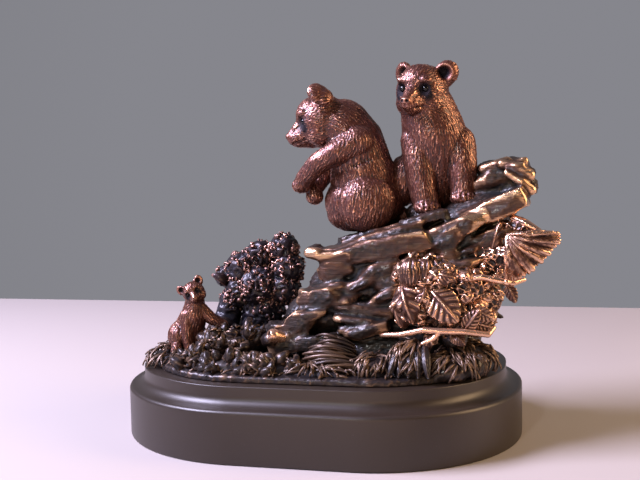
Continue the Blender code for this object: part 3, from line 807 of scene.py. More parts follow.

# %% [markdown]
# ## Split stones
# What shows at the front are thin split stones whose ends narrow to a blunt edge, and at both ends
# of the ledge a few smooth rods and knuckles. They are tables too, since each was placed one by one.

# %% Split stones and fingers
SHARDS = (
    # x, y, z of the middle, then length, depth and thickness, the rise in degrees, and how much the
    # left and the right end narrow
    (25.5, -17, 47.6, 47, 17, 8.4, 11, 0.45, 0.10), (28.0, -15, 52.6, 38, 16, 4.6, 15, 0.70, 0.30),
    (57.5, -15, 55.6, 28, 15, 8.0, 21, 0.25, 0.55), (72.5, -12, 63.2, 27, 15, 8.6, 22, 0.30, 0.05),
    (54.0, -17, 50.2, 15, 13, 7.6, 33, 0.55, 0.35), (59.0, -17, 41.6, 25, 17, 4.8, 14, 0.80, 0.85),
    (10.0, -17, 39.8, 16, 16, 7.6, 14, 0.45, 0.20), (28.0, -18, 39.4, 22, 16, 6.6, 21, 0.65, 0.30),
    (32.0, -19, 35.2, 12, 14, 4.4, 14, 0.30, 0.20), (20.0, -20, 34.0, 15, 14, 5.0, 19, 0.40, 0.50),
    (5.6, -23, 28.8, 22, 13, 9.2, 7, 0.80, 0.85), (-3.6, -25, 18.4, 15, 13, 10.0, 38, 0.50, 0.30),
    (20.5, -24, 20.8, 20, 15, 3.2, -6, 0.50, 0.70), (19.0, -21, 24.6, 30, 15, 4.0, -5, 0.60, 0.40),
    (23.0, -26, 16.6, 19, 13, 5.6, 14, 0.55, 0.40), (70.0, -13, 52.0, 24, 14, 6.0, 19, 0.30, 0.60),
    (68.0, -13, 46.0, 20, 13, 5.0, 17, 0.50, 0.60), (11.0, -21, 33.6, 13, 12, 4.0, 10, 0.50, 0.60),
    (-8.0, -28, 11.0, 15, 10, 8.0, 20, 0.40, 0.60), (74.0, 1, 76.2, 24, 14, 6.6, 25, 0.60, 0.40),
    (38.0, -14, 57.0, 26, 12, 2.6, 13, 0.60, 0.50), (44.0, -18, 46.8, 9, 12, 4.0, 40, 0.40, 0.60),
    (62.0, -16, 47.4, 14, 12, 3.2, 18, 0.60, 0.70), (2.0, -27, 22.6, 13, 10, 3.6, 12, 0.60, 0.50),
    (14.0, -22, 27.8, 14, 12, 3.4, 20, 0.50, 0.70), (31.0, -22, 30.4, 13, 12, 4.2, 28, 0.50, 0.60),
)
LEDGE_FINGERS = (
    # rods and knuckles at the two ends of the ledge, each from x, y, z and radius to the next
    ((68, -3, 78.6, 2.2), (77, -5, 81.2, 2.3)), ((75, -7, 80.4, 1.9), (82.6, -9, 79.4, 1.8)),
    ((80.6, -9, 79.2, 2.0), (85.8, -9, 75.8, 2.2)), ((82.4, -11, 73.6, 1.7), (86.6, -10, 70.0, 1.9)),
    ((77.0, -10, 77.0, 1.5), (83.0, -11, 73.0, 1.5)), ((0.0, -22, 46.6, 2.4), (3.4, -23, 46.2, 2.7)),
    ((5.0, -23, 45.2, 2.6), (16.0, -24, 46.0, 2.0)), ((54.0, -22, 45.0, 2.6), (57.0, -22, 45.6, 2.4)),
)
print("the rock has", len(SHARDS), "split stones and", len(LEDGE_FINGERS), "fingers")

# %% [markdown]
# ## Laying the rock
# The slabs are laid a little smaller than their table says, so that the split stones stand out in
# front of them. The back is plainer: three columns of three slabs, each with three split stones
# behind it that turn their worn fronts outwards.

# %% Lay and weld the rock
ROCK_VOXEL = 0.76 * MM
SLAB_SHARES = (0.94, 0.78, 0.90)
SHARD_SEED, BACK_SLAB_SEED, BACK_SHARD_SEED = 70, 50, 90
COLUMNS = LEVELS = BACK_SHARDS = 3

rock_clay = Clay()
for x, y, z, *radii, rise in ROCK_CORE:
    rock_clay.ball((x, y, z), radii, (0, -rise, 0))
for count, (x, y, z, *size, rise) in enumerate(FRONT_SLABS):
    size = [length * share for length, share in zip(size, SLAB_SHARES)]
    rock_clay.slab((x, y, z), size, (0, -rise, 0), count)
for count, (x, y, z, *size, rise, left, right) in enumerate(SHARDS):
    rock_clay.shard((x, y, z), size, (0, -rise, 0), (left, right), SHARD_SEED + count)
for count, (column, level) in enumerate(product(range(COLUMNS), range(LEVELS))):
    x, y, z = 14 + 22 * column + 5 * level, 19 - 4 * level, 14 + 15 * level
    fan = column - 1
    rock_clay.slab((x, y, z), (26, 18, 8), (0, -12, 8 * fan), BACK_SLAB_SEED + count)
    for part in range(BACK_SHARDS):
        rock_clay.shard((x - 6 + 7 * part, y + 3 - 2 * (part % 2), z - 5 + 4.6 * part),
                        (27 - 4 * part, 15, 7.2 - 1.2 * part),
                        (4 * part - 4, -12 - 5 * part, 172 + 9 * fan),
                        (0.35 + 0.15 * part, 0.55), BACK_SHARD_SEED + BACK_SHARDS * count + part)
for x, y, z, *radii in LEDGE_STONES:
    rock_clay.ball((x, y, z), radii)
for start, end in LEDGE_FINGERS:
    rock_clay.limb(start, end)
rock = weld("rock", rock_clay, ROCK_VOXEL, 1)
print("the rock is welded from", len(rock.data.vertices), "points")

# %% [markdown]
# ## Where the rock is smooth
# The faces of the split stones and fingers are smooth and worn, and the core between them is
# grainy and dark. So each point is asked how far it lies from each stone, in that stone's own
# frame, where the stone is a box round the origin.

# %% Find the faces
def on_shards(places):
    """1 on the split stones, falling to 0 just outside them."""
    share = np.zeros(len(places))
    for x, y, z, *size, rise, _, _ in SHARDS:
        shape = group_frame @ Matrix.Translation((x, y, z)) @ turn_matrix((0, -rise, 0))
        inward = np.array(shape.inverted())
        local = np.abs(places @ inward[:3, :3].T + inward[:3, 3]) / (np.array(size) / 2)
        share = np.maximum(share, np.clip((1.12 - local.max(axis=1)) * 7, 0, 1))
    return share


def on_fingers(places):
    """1 on the smooth rods and knuckles, falling to 0 just outside them."""
    share = np.zeros(len(places))
    for start, end in LEDGE_FINGERS:
        ends = [group_frame @ Vector(place[:3]) for place in (start, end)]
        distance = segment_distance(places, *ends)
        share = np.maximum(share, np.clip((1.3 - distance / (start[3] * MM)) * 5, 0, 1))
    return share


places = points_of(rock.data)
finger_share = on_fingers(places)
face_share = np.maximum(on_shards(places), finger_share)
print(round(100 * face_share.mean()), "% of the rock's points lie on smooth faces")

# %% [markdown]
# ## Carving the rock
# The patterns are read in the rock's bedding, which rises to the right as its layers do. Chips cut
# the faces and the core, and streaks run along the faces. On the core grain takes their place, and
# the fingers are hardly chipped. One long edge at the right of the ledge has a painted golden highlight.

# %% Chip and wear the rock, and paint a highlight on its edge
bedding = np.array(Matrix.Rotation(math.radians(BEDDING_RISE), 3, "Y"))
laid = places @ bedding.T
chipped = 1.4 * chips(laid, (14, 11, 5.5), 1) + 0.4 * chips(laid, (5, 4.5, 2.4), 2) - 0.5
chipped *= 1 - 0.8 * finger_share
streaks = rock_noise(laid, (14, 8, 0.9), 4)
grain = rock_noise(places, (1.0, 1.0, 1.0), 3, 2)
rough_core = 0.8 * chipped + 0.5 * grain - 0.4
push_out(rock, face_share * (chipped + 0.16 * streaks) + (1 - face_share) * rough_core)

# A painted highlight: the height is lifted along this edge, so that it shows bright gold copper.
PAINTED_HIGHLIGHT_EDGE = ((60, -19, 58), (84, -16, 69))
PAINTED_HIGHLIGHT_REACH = 9 * MM
worn = 0.30 * edges_and_crevices(rock, 3) + 0.70 * edges_and_crevices(rock, 26)
ends = [group_frame @ Vector(place) for place in PAINTED_HIGHLIGHT_EDGE]
painted_highlight = falloff(segment_distance(points_of(rock.data), *ends), PAINTED_HIGHLIGHT_REACH)
store(rock, height=face_share * (worn + 0.05 * streaks + 0.34 * painted_highlight)
      + (1 - face_share) * (0.22 * worn + 0.10 + 0.12 * grain))
finish_piece(rock)

# %% [markdown]
# ## Leaves
# Every leaf is a flat grid bent by a formula: how wide it is along its length, how it folds at the
# midrib, how its veins stand up and how its edge curls. A texture could fake the veins, but these
# leaves are thick cast metal, with bright rims that have to be real edges. The same function makes
# a broad veined leaf, the hundreds of small curled ones on the bush, and a strand of grass.

# %% Bend a grid into a leaf
def blade(mesh, base, tip, width, facing, cells, bend, cup, vein=0.0, ribs=7, ruffle=0.0, notch=0.0,
          phase=0.0):
    """A leaf from base to tip on the group's grid, its upper side towards facing."""
    base, tip = Vector(base), Vector(tip)
    length = (tip - base).length
    along = (tip - base) / length
    across = along.cross(Vector(facing)).normalized()
    up = across.cross(along)
    made = bmesh.ops.create_grid(mesh, x_segments=cells[0], y_segments=cells[1], size=1)
    for vert in made["verts"]:
        side, share = vert.co.x, (vert.co.y + 1) / 2
        half = width / 2 * math.sin(math.pi * share ** 0.8) ** 0.7 + 0.03 * width
        tooth = (share * 11 + phase) % 1
        half *= 1 + notch * tooth * abs(side) ** 6
        lift = bend * length * 4 * share * (1 - share) - cup * width * side * side
        lift += vein * 1.6 * math.exp(-(side / 0.10) ** 2)
        lift += vein * math.cos(math.tau * ribs * (share - 0.22 * abs(side))) * min(1, 2 * abs(side))
        lift += ruffle * side * side * math.sin(math.tau * (2.3 * share + phase + 0.3 * side))
        vert.co = base + along * length * share + across * half * side + up * lift


def leaf_piece(name, mesh, thickness, steps=3):
    """Gives bent grids their thickness, and keeps which parts of them are rims and veins."""
    bmesh.ops.transform(mesh, matrix=group_frame, verts=mesh.verts)
    flat = make_object(name + "_flat", mesh)
    thick = flat.modifiers.new("thick", "SOLIDIFY")
    thick.thickness = thickness
    thick.offset = 0
    thing = as_modified(flat, name)
    store(thing, height=edges_and_crevices(thing, steps))
    finish_piece(thing)
    return thing


def random_way(chance):
    return Vector([chance.gauss(0, 1) for _ in range(3)]).normalized()


print("a leaf runs from its base to its tip")

# %% [markdown]
# ## The bush
# A dense crumbly bush stands left of the rock. Rounded lobes give its outline. Its core is
# roughened, so that the gaps between leaves are never smooth.

# %% Model the core of the bush
BUSH_LOBES = (
    # x, y, z and radius
    (-19.6, 10, 45.8, 6.2), (-30.8, 11, 42.2, 6.4), (-39.0, 10, 36.0, 7.8), (-46.2, 9, 33.2, 4.6),
    (-17.5, 9, 37.0, 6.8), (-19.5, 8, 28.0, 7.0), (-30.0, 7, 29.0, 9.2), (-39.0, 8, 26.5, 7.4),
    (-27.0, 8, 20.0, 7.4), (-43.5, 9, 22.0, 5.6), (-36.0, 16, 31.0, 8.0), (-25.0, 17, 34.0, 8.4),
)
BUSH_VOXEL = 0.7 * MM
CRUMB = (2.6, 2.6, 2.6)
bush_clay = Clay()
bush_clay.limb((-31, 9, 22, 7.0), (-31, 10, 2, 8.0))
bush_clay.limb((-44, 8, 20, 4.6), (-47, 6, 10, 5.0), (-45, 5, 2, 6.0))
for x, y, z, radius in BUSH_LOBES:
    bush_clay.ball((x, y, z), radius * 0.9)
bush_core = weld("bush_core", bush_clay, BUSH_VOXEL, 2)
crumble = 1 - 2 * np.abs(rock_noise(points_of(bush_core.data), CRUMB, 4))
push_out(bush_core, 1.3 * crumble)
store(bush_core, height=0.5 * edges_and_crevices(bush_core, 6))
finish_piece(bush_core)

# %% [markdown]
# ## The leaves of the bush
# Small curled leaves are thrown out from each lobe at random, as many as its surface asks for. One
# that would fall inside another lobe is left out, since it would never be seen. A larger leaf hangs
# over at the left.

# %% Cover the bush with leaves
LEAVES_PER_SQUARE = 1.8
bush_mesh = bmesh.new()
chance = random.Random(5)
for x, y, z, radius in BUSH_LOBES:
    for _ in range(int(LEAVES_PER_SQUARE * radius ** 2)):
        away = random_way(chance)
        spot = Vector((x, y, z)) + away * radius * chance.uniform(0.86, 1.0)
        if any((spot - Vector(lobe[:3])).length < lobe[3] * 0.8 for lobe in BUSH_LOBES):
            continue
        lean = (away * 0.9 + random_way(chance) * 0.8).normalized()
        size = chance.uniform(2.0, 3.4)
        blade(bush_mesh, spot - lean * size * 0.45, spot + lean * size * 0.55, size * 0.85,
              random_way(chance), (4, 4), 0.15, 0.3, ruffle=0.5, phase=chance.random())
blade(bush_mesh, (-44, 6, 30), (-50, 2, 35), 5.0, (0, -1, 1), (8, 8), 0.3, 0.3)
bush_leaves = leaf_piece("bush_leaves", bush_mesh, 0.45 * MM, 2)

# %% [markdown]
# ## The net behind the leaves
# Right of the rock's front the casting has a crowded clump. Between its leaves shows a net of
# raised wires over dark cells. The net is the border between the cells of a Voronoi pattern, where
# the nearest two seeds are about as far away, raised on the clump's skin.

# %% Model the net
LEAF_CLUSTER = (
    # x, y, z and radius of the mass that the leaves lie on
    (42, -22, 38, 8.0), (50, -23, 36, 9.5), (60, -21, 33, 10.0), (66, -18, 29, 9.0),
    (46, -24, 27, 9.0), (56, -24, 24, 9.0), (65, -21, 22, 8.0), (72, -14, 41, 7.0),
)
NET_VOXEL = 0.46 * MM
NET_CELL, WIRE_SHARE = 2.7, 0.28
cluster_clay = Clay()
for x, y, z, radius in LEAF_CLUSTER:
    cluster_clay.ball((x, y, z), radius)
cluster_clay.limb((66, -12, 45, 8.0), (76, -18, 45, 4.5), (83, -23, 47, 2.0))
cluster_clay.limb((76, -16, 57, 2.0), (84, -20, 56, 1.6))
cluster_net = weld("cluster_net", cluster_clay, NET_VOXEL, 4)


def net_height(places, cell):
    """1 on the wires between cells and 0 inside a cell."""
    seeds = [noise.voronoi(Vector(row))[0] for row in places / (cell * MM)]
    border = np.array([distances[1] - distances[0] for distances in seeds])
    return np.clip(1 - border / WIRE_SHARE, 0, 1)


places = points_of(cluster_net.data)
wires = net_height(places, NET_CELL)
push_out(cluster_net, 1.2 * wires - 0.8 + 0.4 * rock_noise(places, (6, 6, 6), 7))
store(cluster_net, height=np.maximum(wires, 0.3 * edges_and_crevices(cluster_net, 8)))
finish_piece(cluster_net)

# %% [markdown]
# ## The leaves of the cluster
# The leaves that can be told apart are a table, each with its own folds and veins. Smaller ones
# fill the clump at random and lie on its skin.

# %% Lay the leaves of the cluster
CLUSTER_BLADES = (
    # base, tip, width, facing, then bend, cup, height of the veins, ribs, ruffle and notches
    ((49.5, -32.5, 33), (59.5, -35.5, 22), 11, (0.1, -1, 0.3), 0.12, 0.10, 0.45, 6, 0.0, 0.12),
    ((61.5, -33, 18.5), (67.5, -34, 26.5), 5.5, (0.1, -1, 0.1), 0.12, 0.15, 0.30, 6, 0.0, 0.0),
    ((50, -30, 38), (58.5, -33, 38), 6.5, (-0.2, -1, 0.6), 0.30, 0.30, 0.30, 7, 1.3, 0.0),
    ((38.5, -32, 35), (43, -35, 21), 9.5, (-0.1, -1, 0.2), 0.25, 0.25, 0.35, 5, 1.7, 0.15),
    ((47.5, -31, 35.5), (45, -35, 28), 6.5, (0.3, -1, 0.2), 0.30, 0.35, 0.30, 5, 1.5, 0.0),
    ((37.5, -29, 32), (38.5, -33, 19), 6.0, (-0.6, -1, 0.1), 0.25, 0.30, 0.30, 5, 1.5, 0.0),
    ((66, -31, 26), (72.5, -31, 22.5), 5.0, (0.2, -1, 0.3), 0.10, 0.12, 0.30, 5, 0.0, 0.0),
    ((66, -31, 21), (73, -30, 19.0), 5.0, (0.2, -1, 0.1), 0.10, 0.12, 0.30, 5, 0.0, 0.0),
    ((77.4, -27, 35.0), (80.5, -27.5, 28.6), 4.2, (0.1, -1, 0.1), 0.10, 0.15, 0.25, 5, 0.0, 0.0),
    ((51, -33, 17), (47.5, -37, 12), 5.0, (-0.2, -1, 0.4), 0.20, 0.20, 0.30, 4, 0.8, 0.0),
    ((57, -33, 17), (62, -35, 13.5), 5.0, (0.2, -1, 0.6), 0.20, 0.20, 0.20, 7, 0.0, 0.0),
    ((70.8, -17, 42.7), (74.7, -19, 58.0), 5.5, (-0.2, -1, 0.1), 0.15, 0.25, 0.20, 5, 0.0, 0.0),
    ((80.5, -17, 59.5), (84, -20, 56.5), 3.6, (0.1, -1, 0.4), 0.20, 0.20, 0.0, 7, 0.0, 0.0),
)
BROAD_CELLS, SMALL_CELLS = (24, 36), (8, 12)
SMALL_BLADES = 64
cluster_mesh = bmesh.new()
for base, tip, width, facing, *form in CLUSTER_BLADES:
    blade(cluster_mesh, base, tip, width, facing, BROAD_CELLS, *form)
chance = random.Random(23)
for count in range(SMALL_BLADES):
    x, y, z, radius = LEAF_CLUSTER[count % len(LEAF_CLUSTER)]
    away = random_way(chance)
    away.y = -abs(away.y) - 0.3
    spot = Vector((x, y, z)) + away.normalized() * radius * chance.uniform(0.94, 1.08)
    lie = (random_way(chance) + Vector((0, 0, -0.3))).normalized()
    size = chance.uniform(4.2, 7.6)
    blade(cluster_mesh, spot - lie * size / 2, spot + lie * size / 2, size * chance.uniform(0.55, 0.85),
          away + random_way(chance) * 0.5, SMALL_CELLS, 0.22, 0.3, vein=0.22, ribs=4,
          ruffle=chance.uniform(0.6, 1.5), phase=chance.random())
cluster_leaves = leaf_piece("cluster_leaves", cluster_mesh, 0.7 * MM)

# %% [markdown]
# ## Buds
# Two ridged buds stand at the cluster's upper left. They are balls, combed as the fur is, with a few
# long strokes that all run down.

# %% Model the buds
BUD_VOXEL = 0.3 * MM
BUD_STROKE = (1.1 * MM, 6.0 * MM, 1.3 * MM, 0.9 * MM)
bud_clay = Clay()
bud_clay.ball((41.9, -31, 39.6), (4.7, 4.4, 6.0))
bud_clay.ball((46.9, -30, 40.4), (3.2, 3.6, 4.9), (0, 14, 0))
for x, z in product((40, 48), (34, 46)):
    bud_clay.lay((x, -34, z), (0, 0, -1), 3)
buds = weld("buds", bud_clay, BUD_VOXEL, 4)
ridges = comb(buds, bud_clay.flows, BUD_STROKE, 21, 0.12)
store(buds, height=0.4 * ridges + 0.6 * edges_and_crevices(buds, 10))
finish_piece(buds)

# %% [markdown]
# ## The large leaf
# A broad leaf stands out at the right, its veins spreading from the stem corner. It is a fan: one
# way across the grid is the turn round the stem, counted in steps of the rim's table, and the other
# is the share of the way from the stem to the rim. The gaps between the ribs are dark, and so is
# the speckled upper part of the leaf.

# %% The rim of the large leaf
LEAF_STEM = Vector((77.0, -23.5, 53.6))
LEAF_RIM = (
    # x and z round the outer edge, from the top over the tip to the lower corner
    (88.0, 55.2), (96.0, 54.2), (95.4, 50.5), (91.4, 45.6), (86.0, 40.3), (80.0, 36.9), (76.2, 36.4),
)
LEAF_CELLS = (150, 48)


def on_rim(turn):
    """The rim's x and z at a turn round the stem."""
    step = min(int(turn), len(LEAF_RIM) - 2)
    return Vector(LEAF_RIM[step]).lerp(Vector(LEAF_RIM[step + 1]), turn - step)


def leaf_height(turn, share):
    """How far the leaf stands up at a place, and how near that place is to a rib."""
    bent = turn + 0.25 * math.sin(1.9 * turn) + 0.10 * math.sin(5 * turn + 4 * share)
    bent += 0.25 * share ** 2
    rib = abs(math.sin(math.pi * 1.25 * bent)) ** 0.55
    crinkle = noise.noise(Vector((6 * turn, 9 * share, 1.0)))
    crinkle += 0.5 * noise.noise(Vector((17 * turn, 25 * share, 2)))
    swell = 1.5 * math.sin(math.pi * share) - 2.2 * share ** 3
    lift = 1.5 * rib * min(1, 2.6 * share) + 0.55 * crinkle * max(0.35, 1.2 - turn / 3)
    return swell + lift, rib


def leaf_darkness(turn, share, rib):
    """1 where the patina is left whole, between the ribs and in specks."""
    gap = 0.95 * (1 - rib) ** 1.6 * min(1, 4 * share) * (share < 0.96)
    speckle = noise.noise(Vector((30 * turn, 22 * share, 3))) * 2 + 0.5
    speck = 0.9 * min(1, max(speckle, 0)) * max(0, 1 - turn / 2.4) * (share < 0.9)
    return min(1, max(gap, speck))


print("the large leaf's rim has", len(LEAF_RIM), "places")

# %% [markdown]
# ## Bending the large leaf
# The grid's points are moved one by one, and the darkness is kept in a vertex layer, which the
# Solidify modifier carries over to both sides of the leaf.

# %% Model the large leaf
leaf_mesh = bmesh.new()
leaf_dark = leaf_mesh.verts.layers.float.new("dark")
made = bmesh.ops.create_grid(leaf_mesh, x_segments=LEAF_CELLS[0], y_segments=LEAF_CELLS[1], size=1)
for vert in made["verts"]:
    turn, share = (vert.co.x + 1) / 2 * (len(LEAF_RIM) - 1), (vert.co.y + 1) / 2
    height, rib = leaf_height(turn, share)
    reach = 0.03 + 0.97 * share * (1 + (0.05 * rib + 0.03 * math.sin(23 * turn)) * share ** 5)
    rim = on_rim(turn)
    vert[leaf_dark] = leaf_darkness(turn, share, rib)
    vert.co = (LEAF_STEM.x + (rim.x - LEAF_STEM.x) * reach, LEAF_STEM.y - height,
               LEAF_STEM.z + (rim.y - LEAF_STEM.z) * reach)
large_leaf = leaf_piece("large_leaf", leaf_mesh, 1.0 * MM, 12)

# %% [markdown]
# ## Twigs
# Two twigs cross the cluster, one of them forked, a third runs along the top of the large leaf, and
# a hollow log stub lies at the left. They are limbs with a few knots, welded at a fine step.

# %% Model the twigs
TWIG_VOXEL = 0.34 * MM
KNOT_RADIUS = 1.35
UPPER_TWIG = ((57, -26, 35.6, 1.0), (63, -29.5, 37.4, 1.15), (68, -30, 38.3, 1.2),
              (75, -29.5, 36.8, 1.3), (79.5, -28, 35.8, 1.15), (83.6, -25, 36.8, 0.9))
LOWER_TWIG = ((30, -31, 15.6, 0.9), (38, -34.5, 16.6, 1.1), (47, -36, 18.8, 1.2), (53, -36, 18.4, 1.3),
              (62, -35.5, 18.4, 1.2), (70.5, -32.5, 17.0, 1.2), (72.5, -30, 19.2, 1.0))
SIDE_TWIG = ((53, -36, 18.4, 1.2), (50.5, -36.5, 15.6, 1.0), (46.5, -37, 13.8, 0.8))
TOP_TWIG = ((79.5, -17, 59.6, 1.5), (84, -19, 57.6, 1.9), (89, -20.5, 54.9, 1.2))
LOG_STUB = ((-12.4, -34, 15.0, 2.8), (-8.5, -31, 13.6, 2.0), (-5.0, -29, 12.2, 0.8))
twig_clay = Clay()
for route in (UPPER_TWIG, LOWER_TWIG, SIDE_TWIG, TOP_TWIG):
    twig_clay.limb(*route)
for start, end in zip(UPPER_TWIG[1:4], UPPER_TWIG[2:5]):
    twig_clay.ball(((start[0] + end[0]) / 2, start[1], (start[2] + end[2]) / 2), KNOT_RADIUS)
twig_clay.limb(*LOG_STUB)
twig_clay.hollow((-14.2, -35.4, 15.6), 1.9, (1.6, 1.3, -0.5))
twigs = weld("twigs", twig_clay, TWIG_VOXEL, 2)
store(twigs, height=0.45 + 0.5 * edges_and_crevices(twigs, 12))
finish_piece(twigs)

# %% [markdown]
# ## The shape of the ground
# A thin base follows the plinth's oval and carries low mounds. The oval's ends aren't quite round,
# so it is drawn as four quarter rounds that lie apart, here and again for the plinth.

# %% Where the ground lies
MOUNDS = (
    # x, y, z, then the three half sizes
    (-59, -17, 1.5, 12.5, 16, 5.5), (-36, -26, 8, 8, 8, 8), (-26, -27, 9, 7, 7, 8),
    (-45, -2, 9, 8, 8, 9), (10.5, -32, 6.5, 10.5, 8.5, 7.5), (61, -23, 4, 12, 14, 8),
    (-44, -36, 3, 8, 7, 5), (-30, -41, 3, 9, 6, 5), (-12, -42, 2.5, 12, 6, 5), (8, -43, 2, 14, 5, 4),
    (28, -38, 4, 8, 8, 5), (41, -36, 5, 8, 9, 9), (55, -34, 3, 10, 8, 6),
    (-40, 22, 6, 16, 14, 8), (-10, 26, 6, 18, 14, 9), (30, 32, 5, 20, 10, 8), (-62, 4, 2, 7, 12, 4),
)
GROUND_MARGIN = 11.9
GROUND_HEIGHT = 2.4
GROUND_CORNER_STEPS = 12
MOUND_SHARE = 0.88
half_x = (plinth_high.x - plinth_low.x) / 2 / MM - GROUND_MARGIN
half_y = (plinth_high.y - plinth_low.y) / 2 / MM - GROUND_MARGIN
corner = half_y - 3


def oval(reach_x, reach_y, radius, steps):
    """Places round an oval: four quarter rounds, whose middles lie at the reach each way."""
    return [(side_x * reach_x + radius * math.cos(angle), side_y * reach_y + radius * math.sin(angle))
            for quarter, (side_x, side_y) in enumerate(((1, 1), (-1, 1), (-1, -1), (1, -1)))
            for angle in [(quarter + step / steps) * math.pi / 2 for step in range(steps + 1)]]


print("the ground is", round(2 * half_x, 1), "mm long and", round(2 * half_y, 1), "mm deep")

# %% [markdown]
# ## The ground
# The base and the mounds are welded, combed with coarse strokes that run down from each mound, and
# cut flat where they stand on the plinth.

# %% Model the ground
GROUND_VOXEL = 1.0 * MM
GROUND_STROKE = (1.3 * MM, 6.0 * MM, 1.5 * MM, 0.9 * MM)
ground_clay = Clay()
ground_clay.skin_over([(x, y, z) for z in (-3, GROUND_HEIGHT) for x, y in
                       oval(half_x - corner, half_y - corner, corner, GROUND_CORNER_STEPS)])
for x, y, z, *radii in MOUNDS:
    ground_clay.ball((x, y, z), [radius * MOUND_SHARE for radius in radii])
    for angle in [side * math.pi / 4 for side in range(8)]:
        ground_clay.lay((x + radii[0] * math.cos(angle), y + radii[1] * math.sin(angle), z),
                        (math.cos(angle), math.sin(angle), -0.6), 4)
ground_clay.limb((-20, -24, 11, 3.2), (-14, -32, 13, 3.2))


def cut_flat(thing, height):
    """Cuts a piece off at a level and closes it with a flat face."""
    mesh = bmesh.new()
    mesh.from_mesh(thing.data)
    cut = bmesh.ops.bisect_plane(mesh, geom=mesh.verts[:] + mesh.edges[:] + mesh.faces[:],
                                 dist=1e-7, plane_co=(0, 0, height), plane_no=(0, 0, 1),
                                 clear_inner=True)
    rim = [item for item in cut["geom_cut"] if isinstance(item, bmesh.types.BMEdge)]
    bmesh.ops.edgeloop_fill(mesh, edges=rim)
    mesh.to_mesh(thing.data)
    mesh.free()


ground = weld("ground", ground_clay, GROUND_VOXEL, 2)
combed = comb(ground, ground_clay.flows, GROUND_STROKE, 31, 0.4)
store(ground, height=0.5 * combed + 0.5 * edges_and_crevices(ground, 10))
cut_flat(ground, casting_low.z)
finish_piece(ground)

# %% [markdown]
# ## Strands of grass
# Combing alone leaves the grass too smooth to catch the light, and hair particles would be lost in
# an export. So strands are laid on the ground as very narrow leaves, of about a dozen faces a
# side. On a mound they lie outwards from its crown, as hair lies on a head.

# %% Lay strands on mounds and ground
STRAND_CELLS, SHORT_CELLS = (2, 6), (2, 5)
STRAND_LENGTH = 6.4
BACK_DENSITY = 0.40
LOOSE_STRANDS = 680


def tuft(mesh, middle, radii, crown, count, chance):
    """Strands that lie on a mound like hair, outwards from a crown."""
    middle, crown = Vector(middle), Vector(crown)
    for _ in range(count):
        away = random_way(chance)
        away.z = abs(away.z)
        spot = middle + Vector([away[i] * radii[i] for i in range(3)])
        if spot.z < GROUND_HEIGHT:
            continue
        outward = Vector([away[i] / radii[i] for i in range(3)]).normalized()
        lie = spot - crown
        lie = (lie - outward * lie.dot(outward)).normalized() + random_way(chance) * 0.5
        lie = (lie + outward * 0.12).normalized()
        size = STRAND_LENGTH * chance.uniform(0.7, 1.3)
        blade(mesh, spot - lie * size * 0.5, spot + lie * size * 0.5, chance.uniform(0.55, 1.15),
              outward, STRAND_CELLS, 0.13, 0.5)


def on_ground(x, y):
    """Whether a place lies inside the ground's oval."""
    over_x, over_y = max(abs(x) - half_x + corner, 0), max(abs(y) - half_y + corner, 0)
    return math.hypot(over_x, over_y) < corner - 2.5


grass_mesh = bmesh.new()
chance = random.Random(17)
for x, y, z, *radii in (MOUNDS[0], MOUNDS[5], *MOUNDS[9:]):
    crown = (x + chance.uniform(-0.5, 0.5) * radii[0], y + 0.3 * radii[1], z + radii[2])
    density = BACK_DENSITY if y > 10 else 1.0
    tuft(grass_mesh, (x, y, z), radii, crown, int(density * radii[0] * radii[1]), chance)
for _ in range(LOOSE_STRANDS):
    x, y = chance.uniform(-66, 66), chance.uniform(-52, 52)
    if on_ground(x, y):
        lie = Vector((chance.uniform(-1, 1), chance.uniform(-1, 1) - 0.4, 0.2)).normalized()
        size = chance.uniform(4.5, 8.0)
        spot = Vector((x, y, GROUND_HEIGHT))
        blade(grass_mesh, spot - lie * size / 2, spot + lie * size / 2, chance.uniform(0.6, 1.3),
              (0, 0, 1), SHORT_CELLS, 0.16, 0.5)
print("the strands so far have", len(grass_mesh.faces), "flat faces")

# %% [markdown]
# ## The combed tuft and the ferns
# In the middle of the front a tuft lies like a little haystack: long strands in levels, each
# arching over the tuft from left to right, with a little chance in their ends. Right of it a few
# ribbed fern leaves hang to the ground. They go into the same piece as the strands.

# %% Lay the tuft and the ferns
SWIRL_LEVELS, SWIRL_ROWS = 22, 3
FERNS = 5
for level in range(SWIRL_LEVELS):
    share = level / (SWIRL_LEVELS - 1)
    for row in range(SWIRL_ROWS):
        start = Vector((0.5 + 4.5 * share, -44.5 + 12.5 * share + 1.2 * row, 2.6 + 11.6 * share - row))
        end = Vector((23.5 - 3.0 * share, -43.5 + 10.5 * share + 1.2 * row, 2.8 + 9.4 * share - row))
        start += Vector((chance.uniform(-2.5, 4.0), chance.uniform(-0.8, 0.8), chance.uniform(-1, 1)))
        end += Vector((chance.uniform(-4.5, 2.0), chance.uniform(-0.8, 0.8), chance.uniform(-1.5, 1.5)))
        blade(grass_mesh, start, end, chance.uniform(0.9, 2.0), (-0.15, -0.85, 0.9), (3, 16),
              0.13 + 0.19 * share + chance.uniform(-0.06, 0.06), 0.5)
for count in range(FERNS):
    blade(grass_mesh, (39.5 + 1.9 * count, -36.5, 13.6), (34.8 + 3.7 * count, -46.0, 2.6), 3.4,
          (0, -0.9, 0.6), (8, 24), 0.14, 0.25, vein=0.30, ribs=8)
grass = leaf_piece("grass", grass_mesh, 0.38 * MM, 2)

# %% [markdown]
# ## Curled leaves on the ground
# Low plants with curled leaves fill the ground left of the tuft. They grow from five of the mounds
# and lean outwards and to the front.

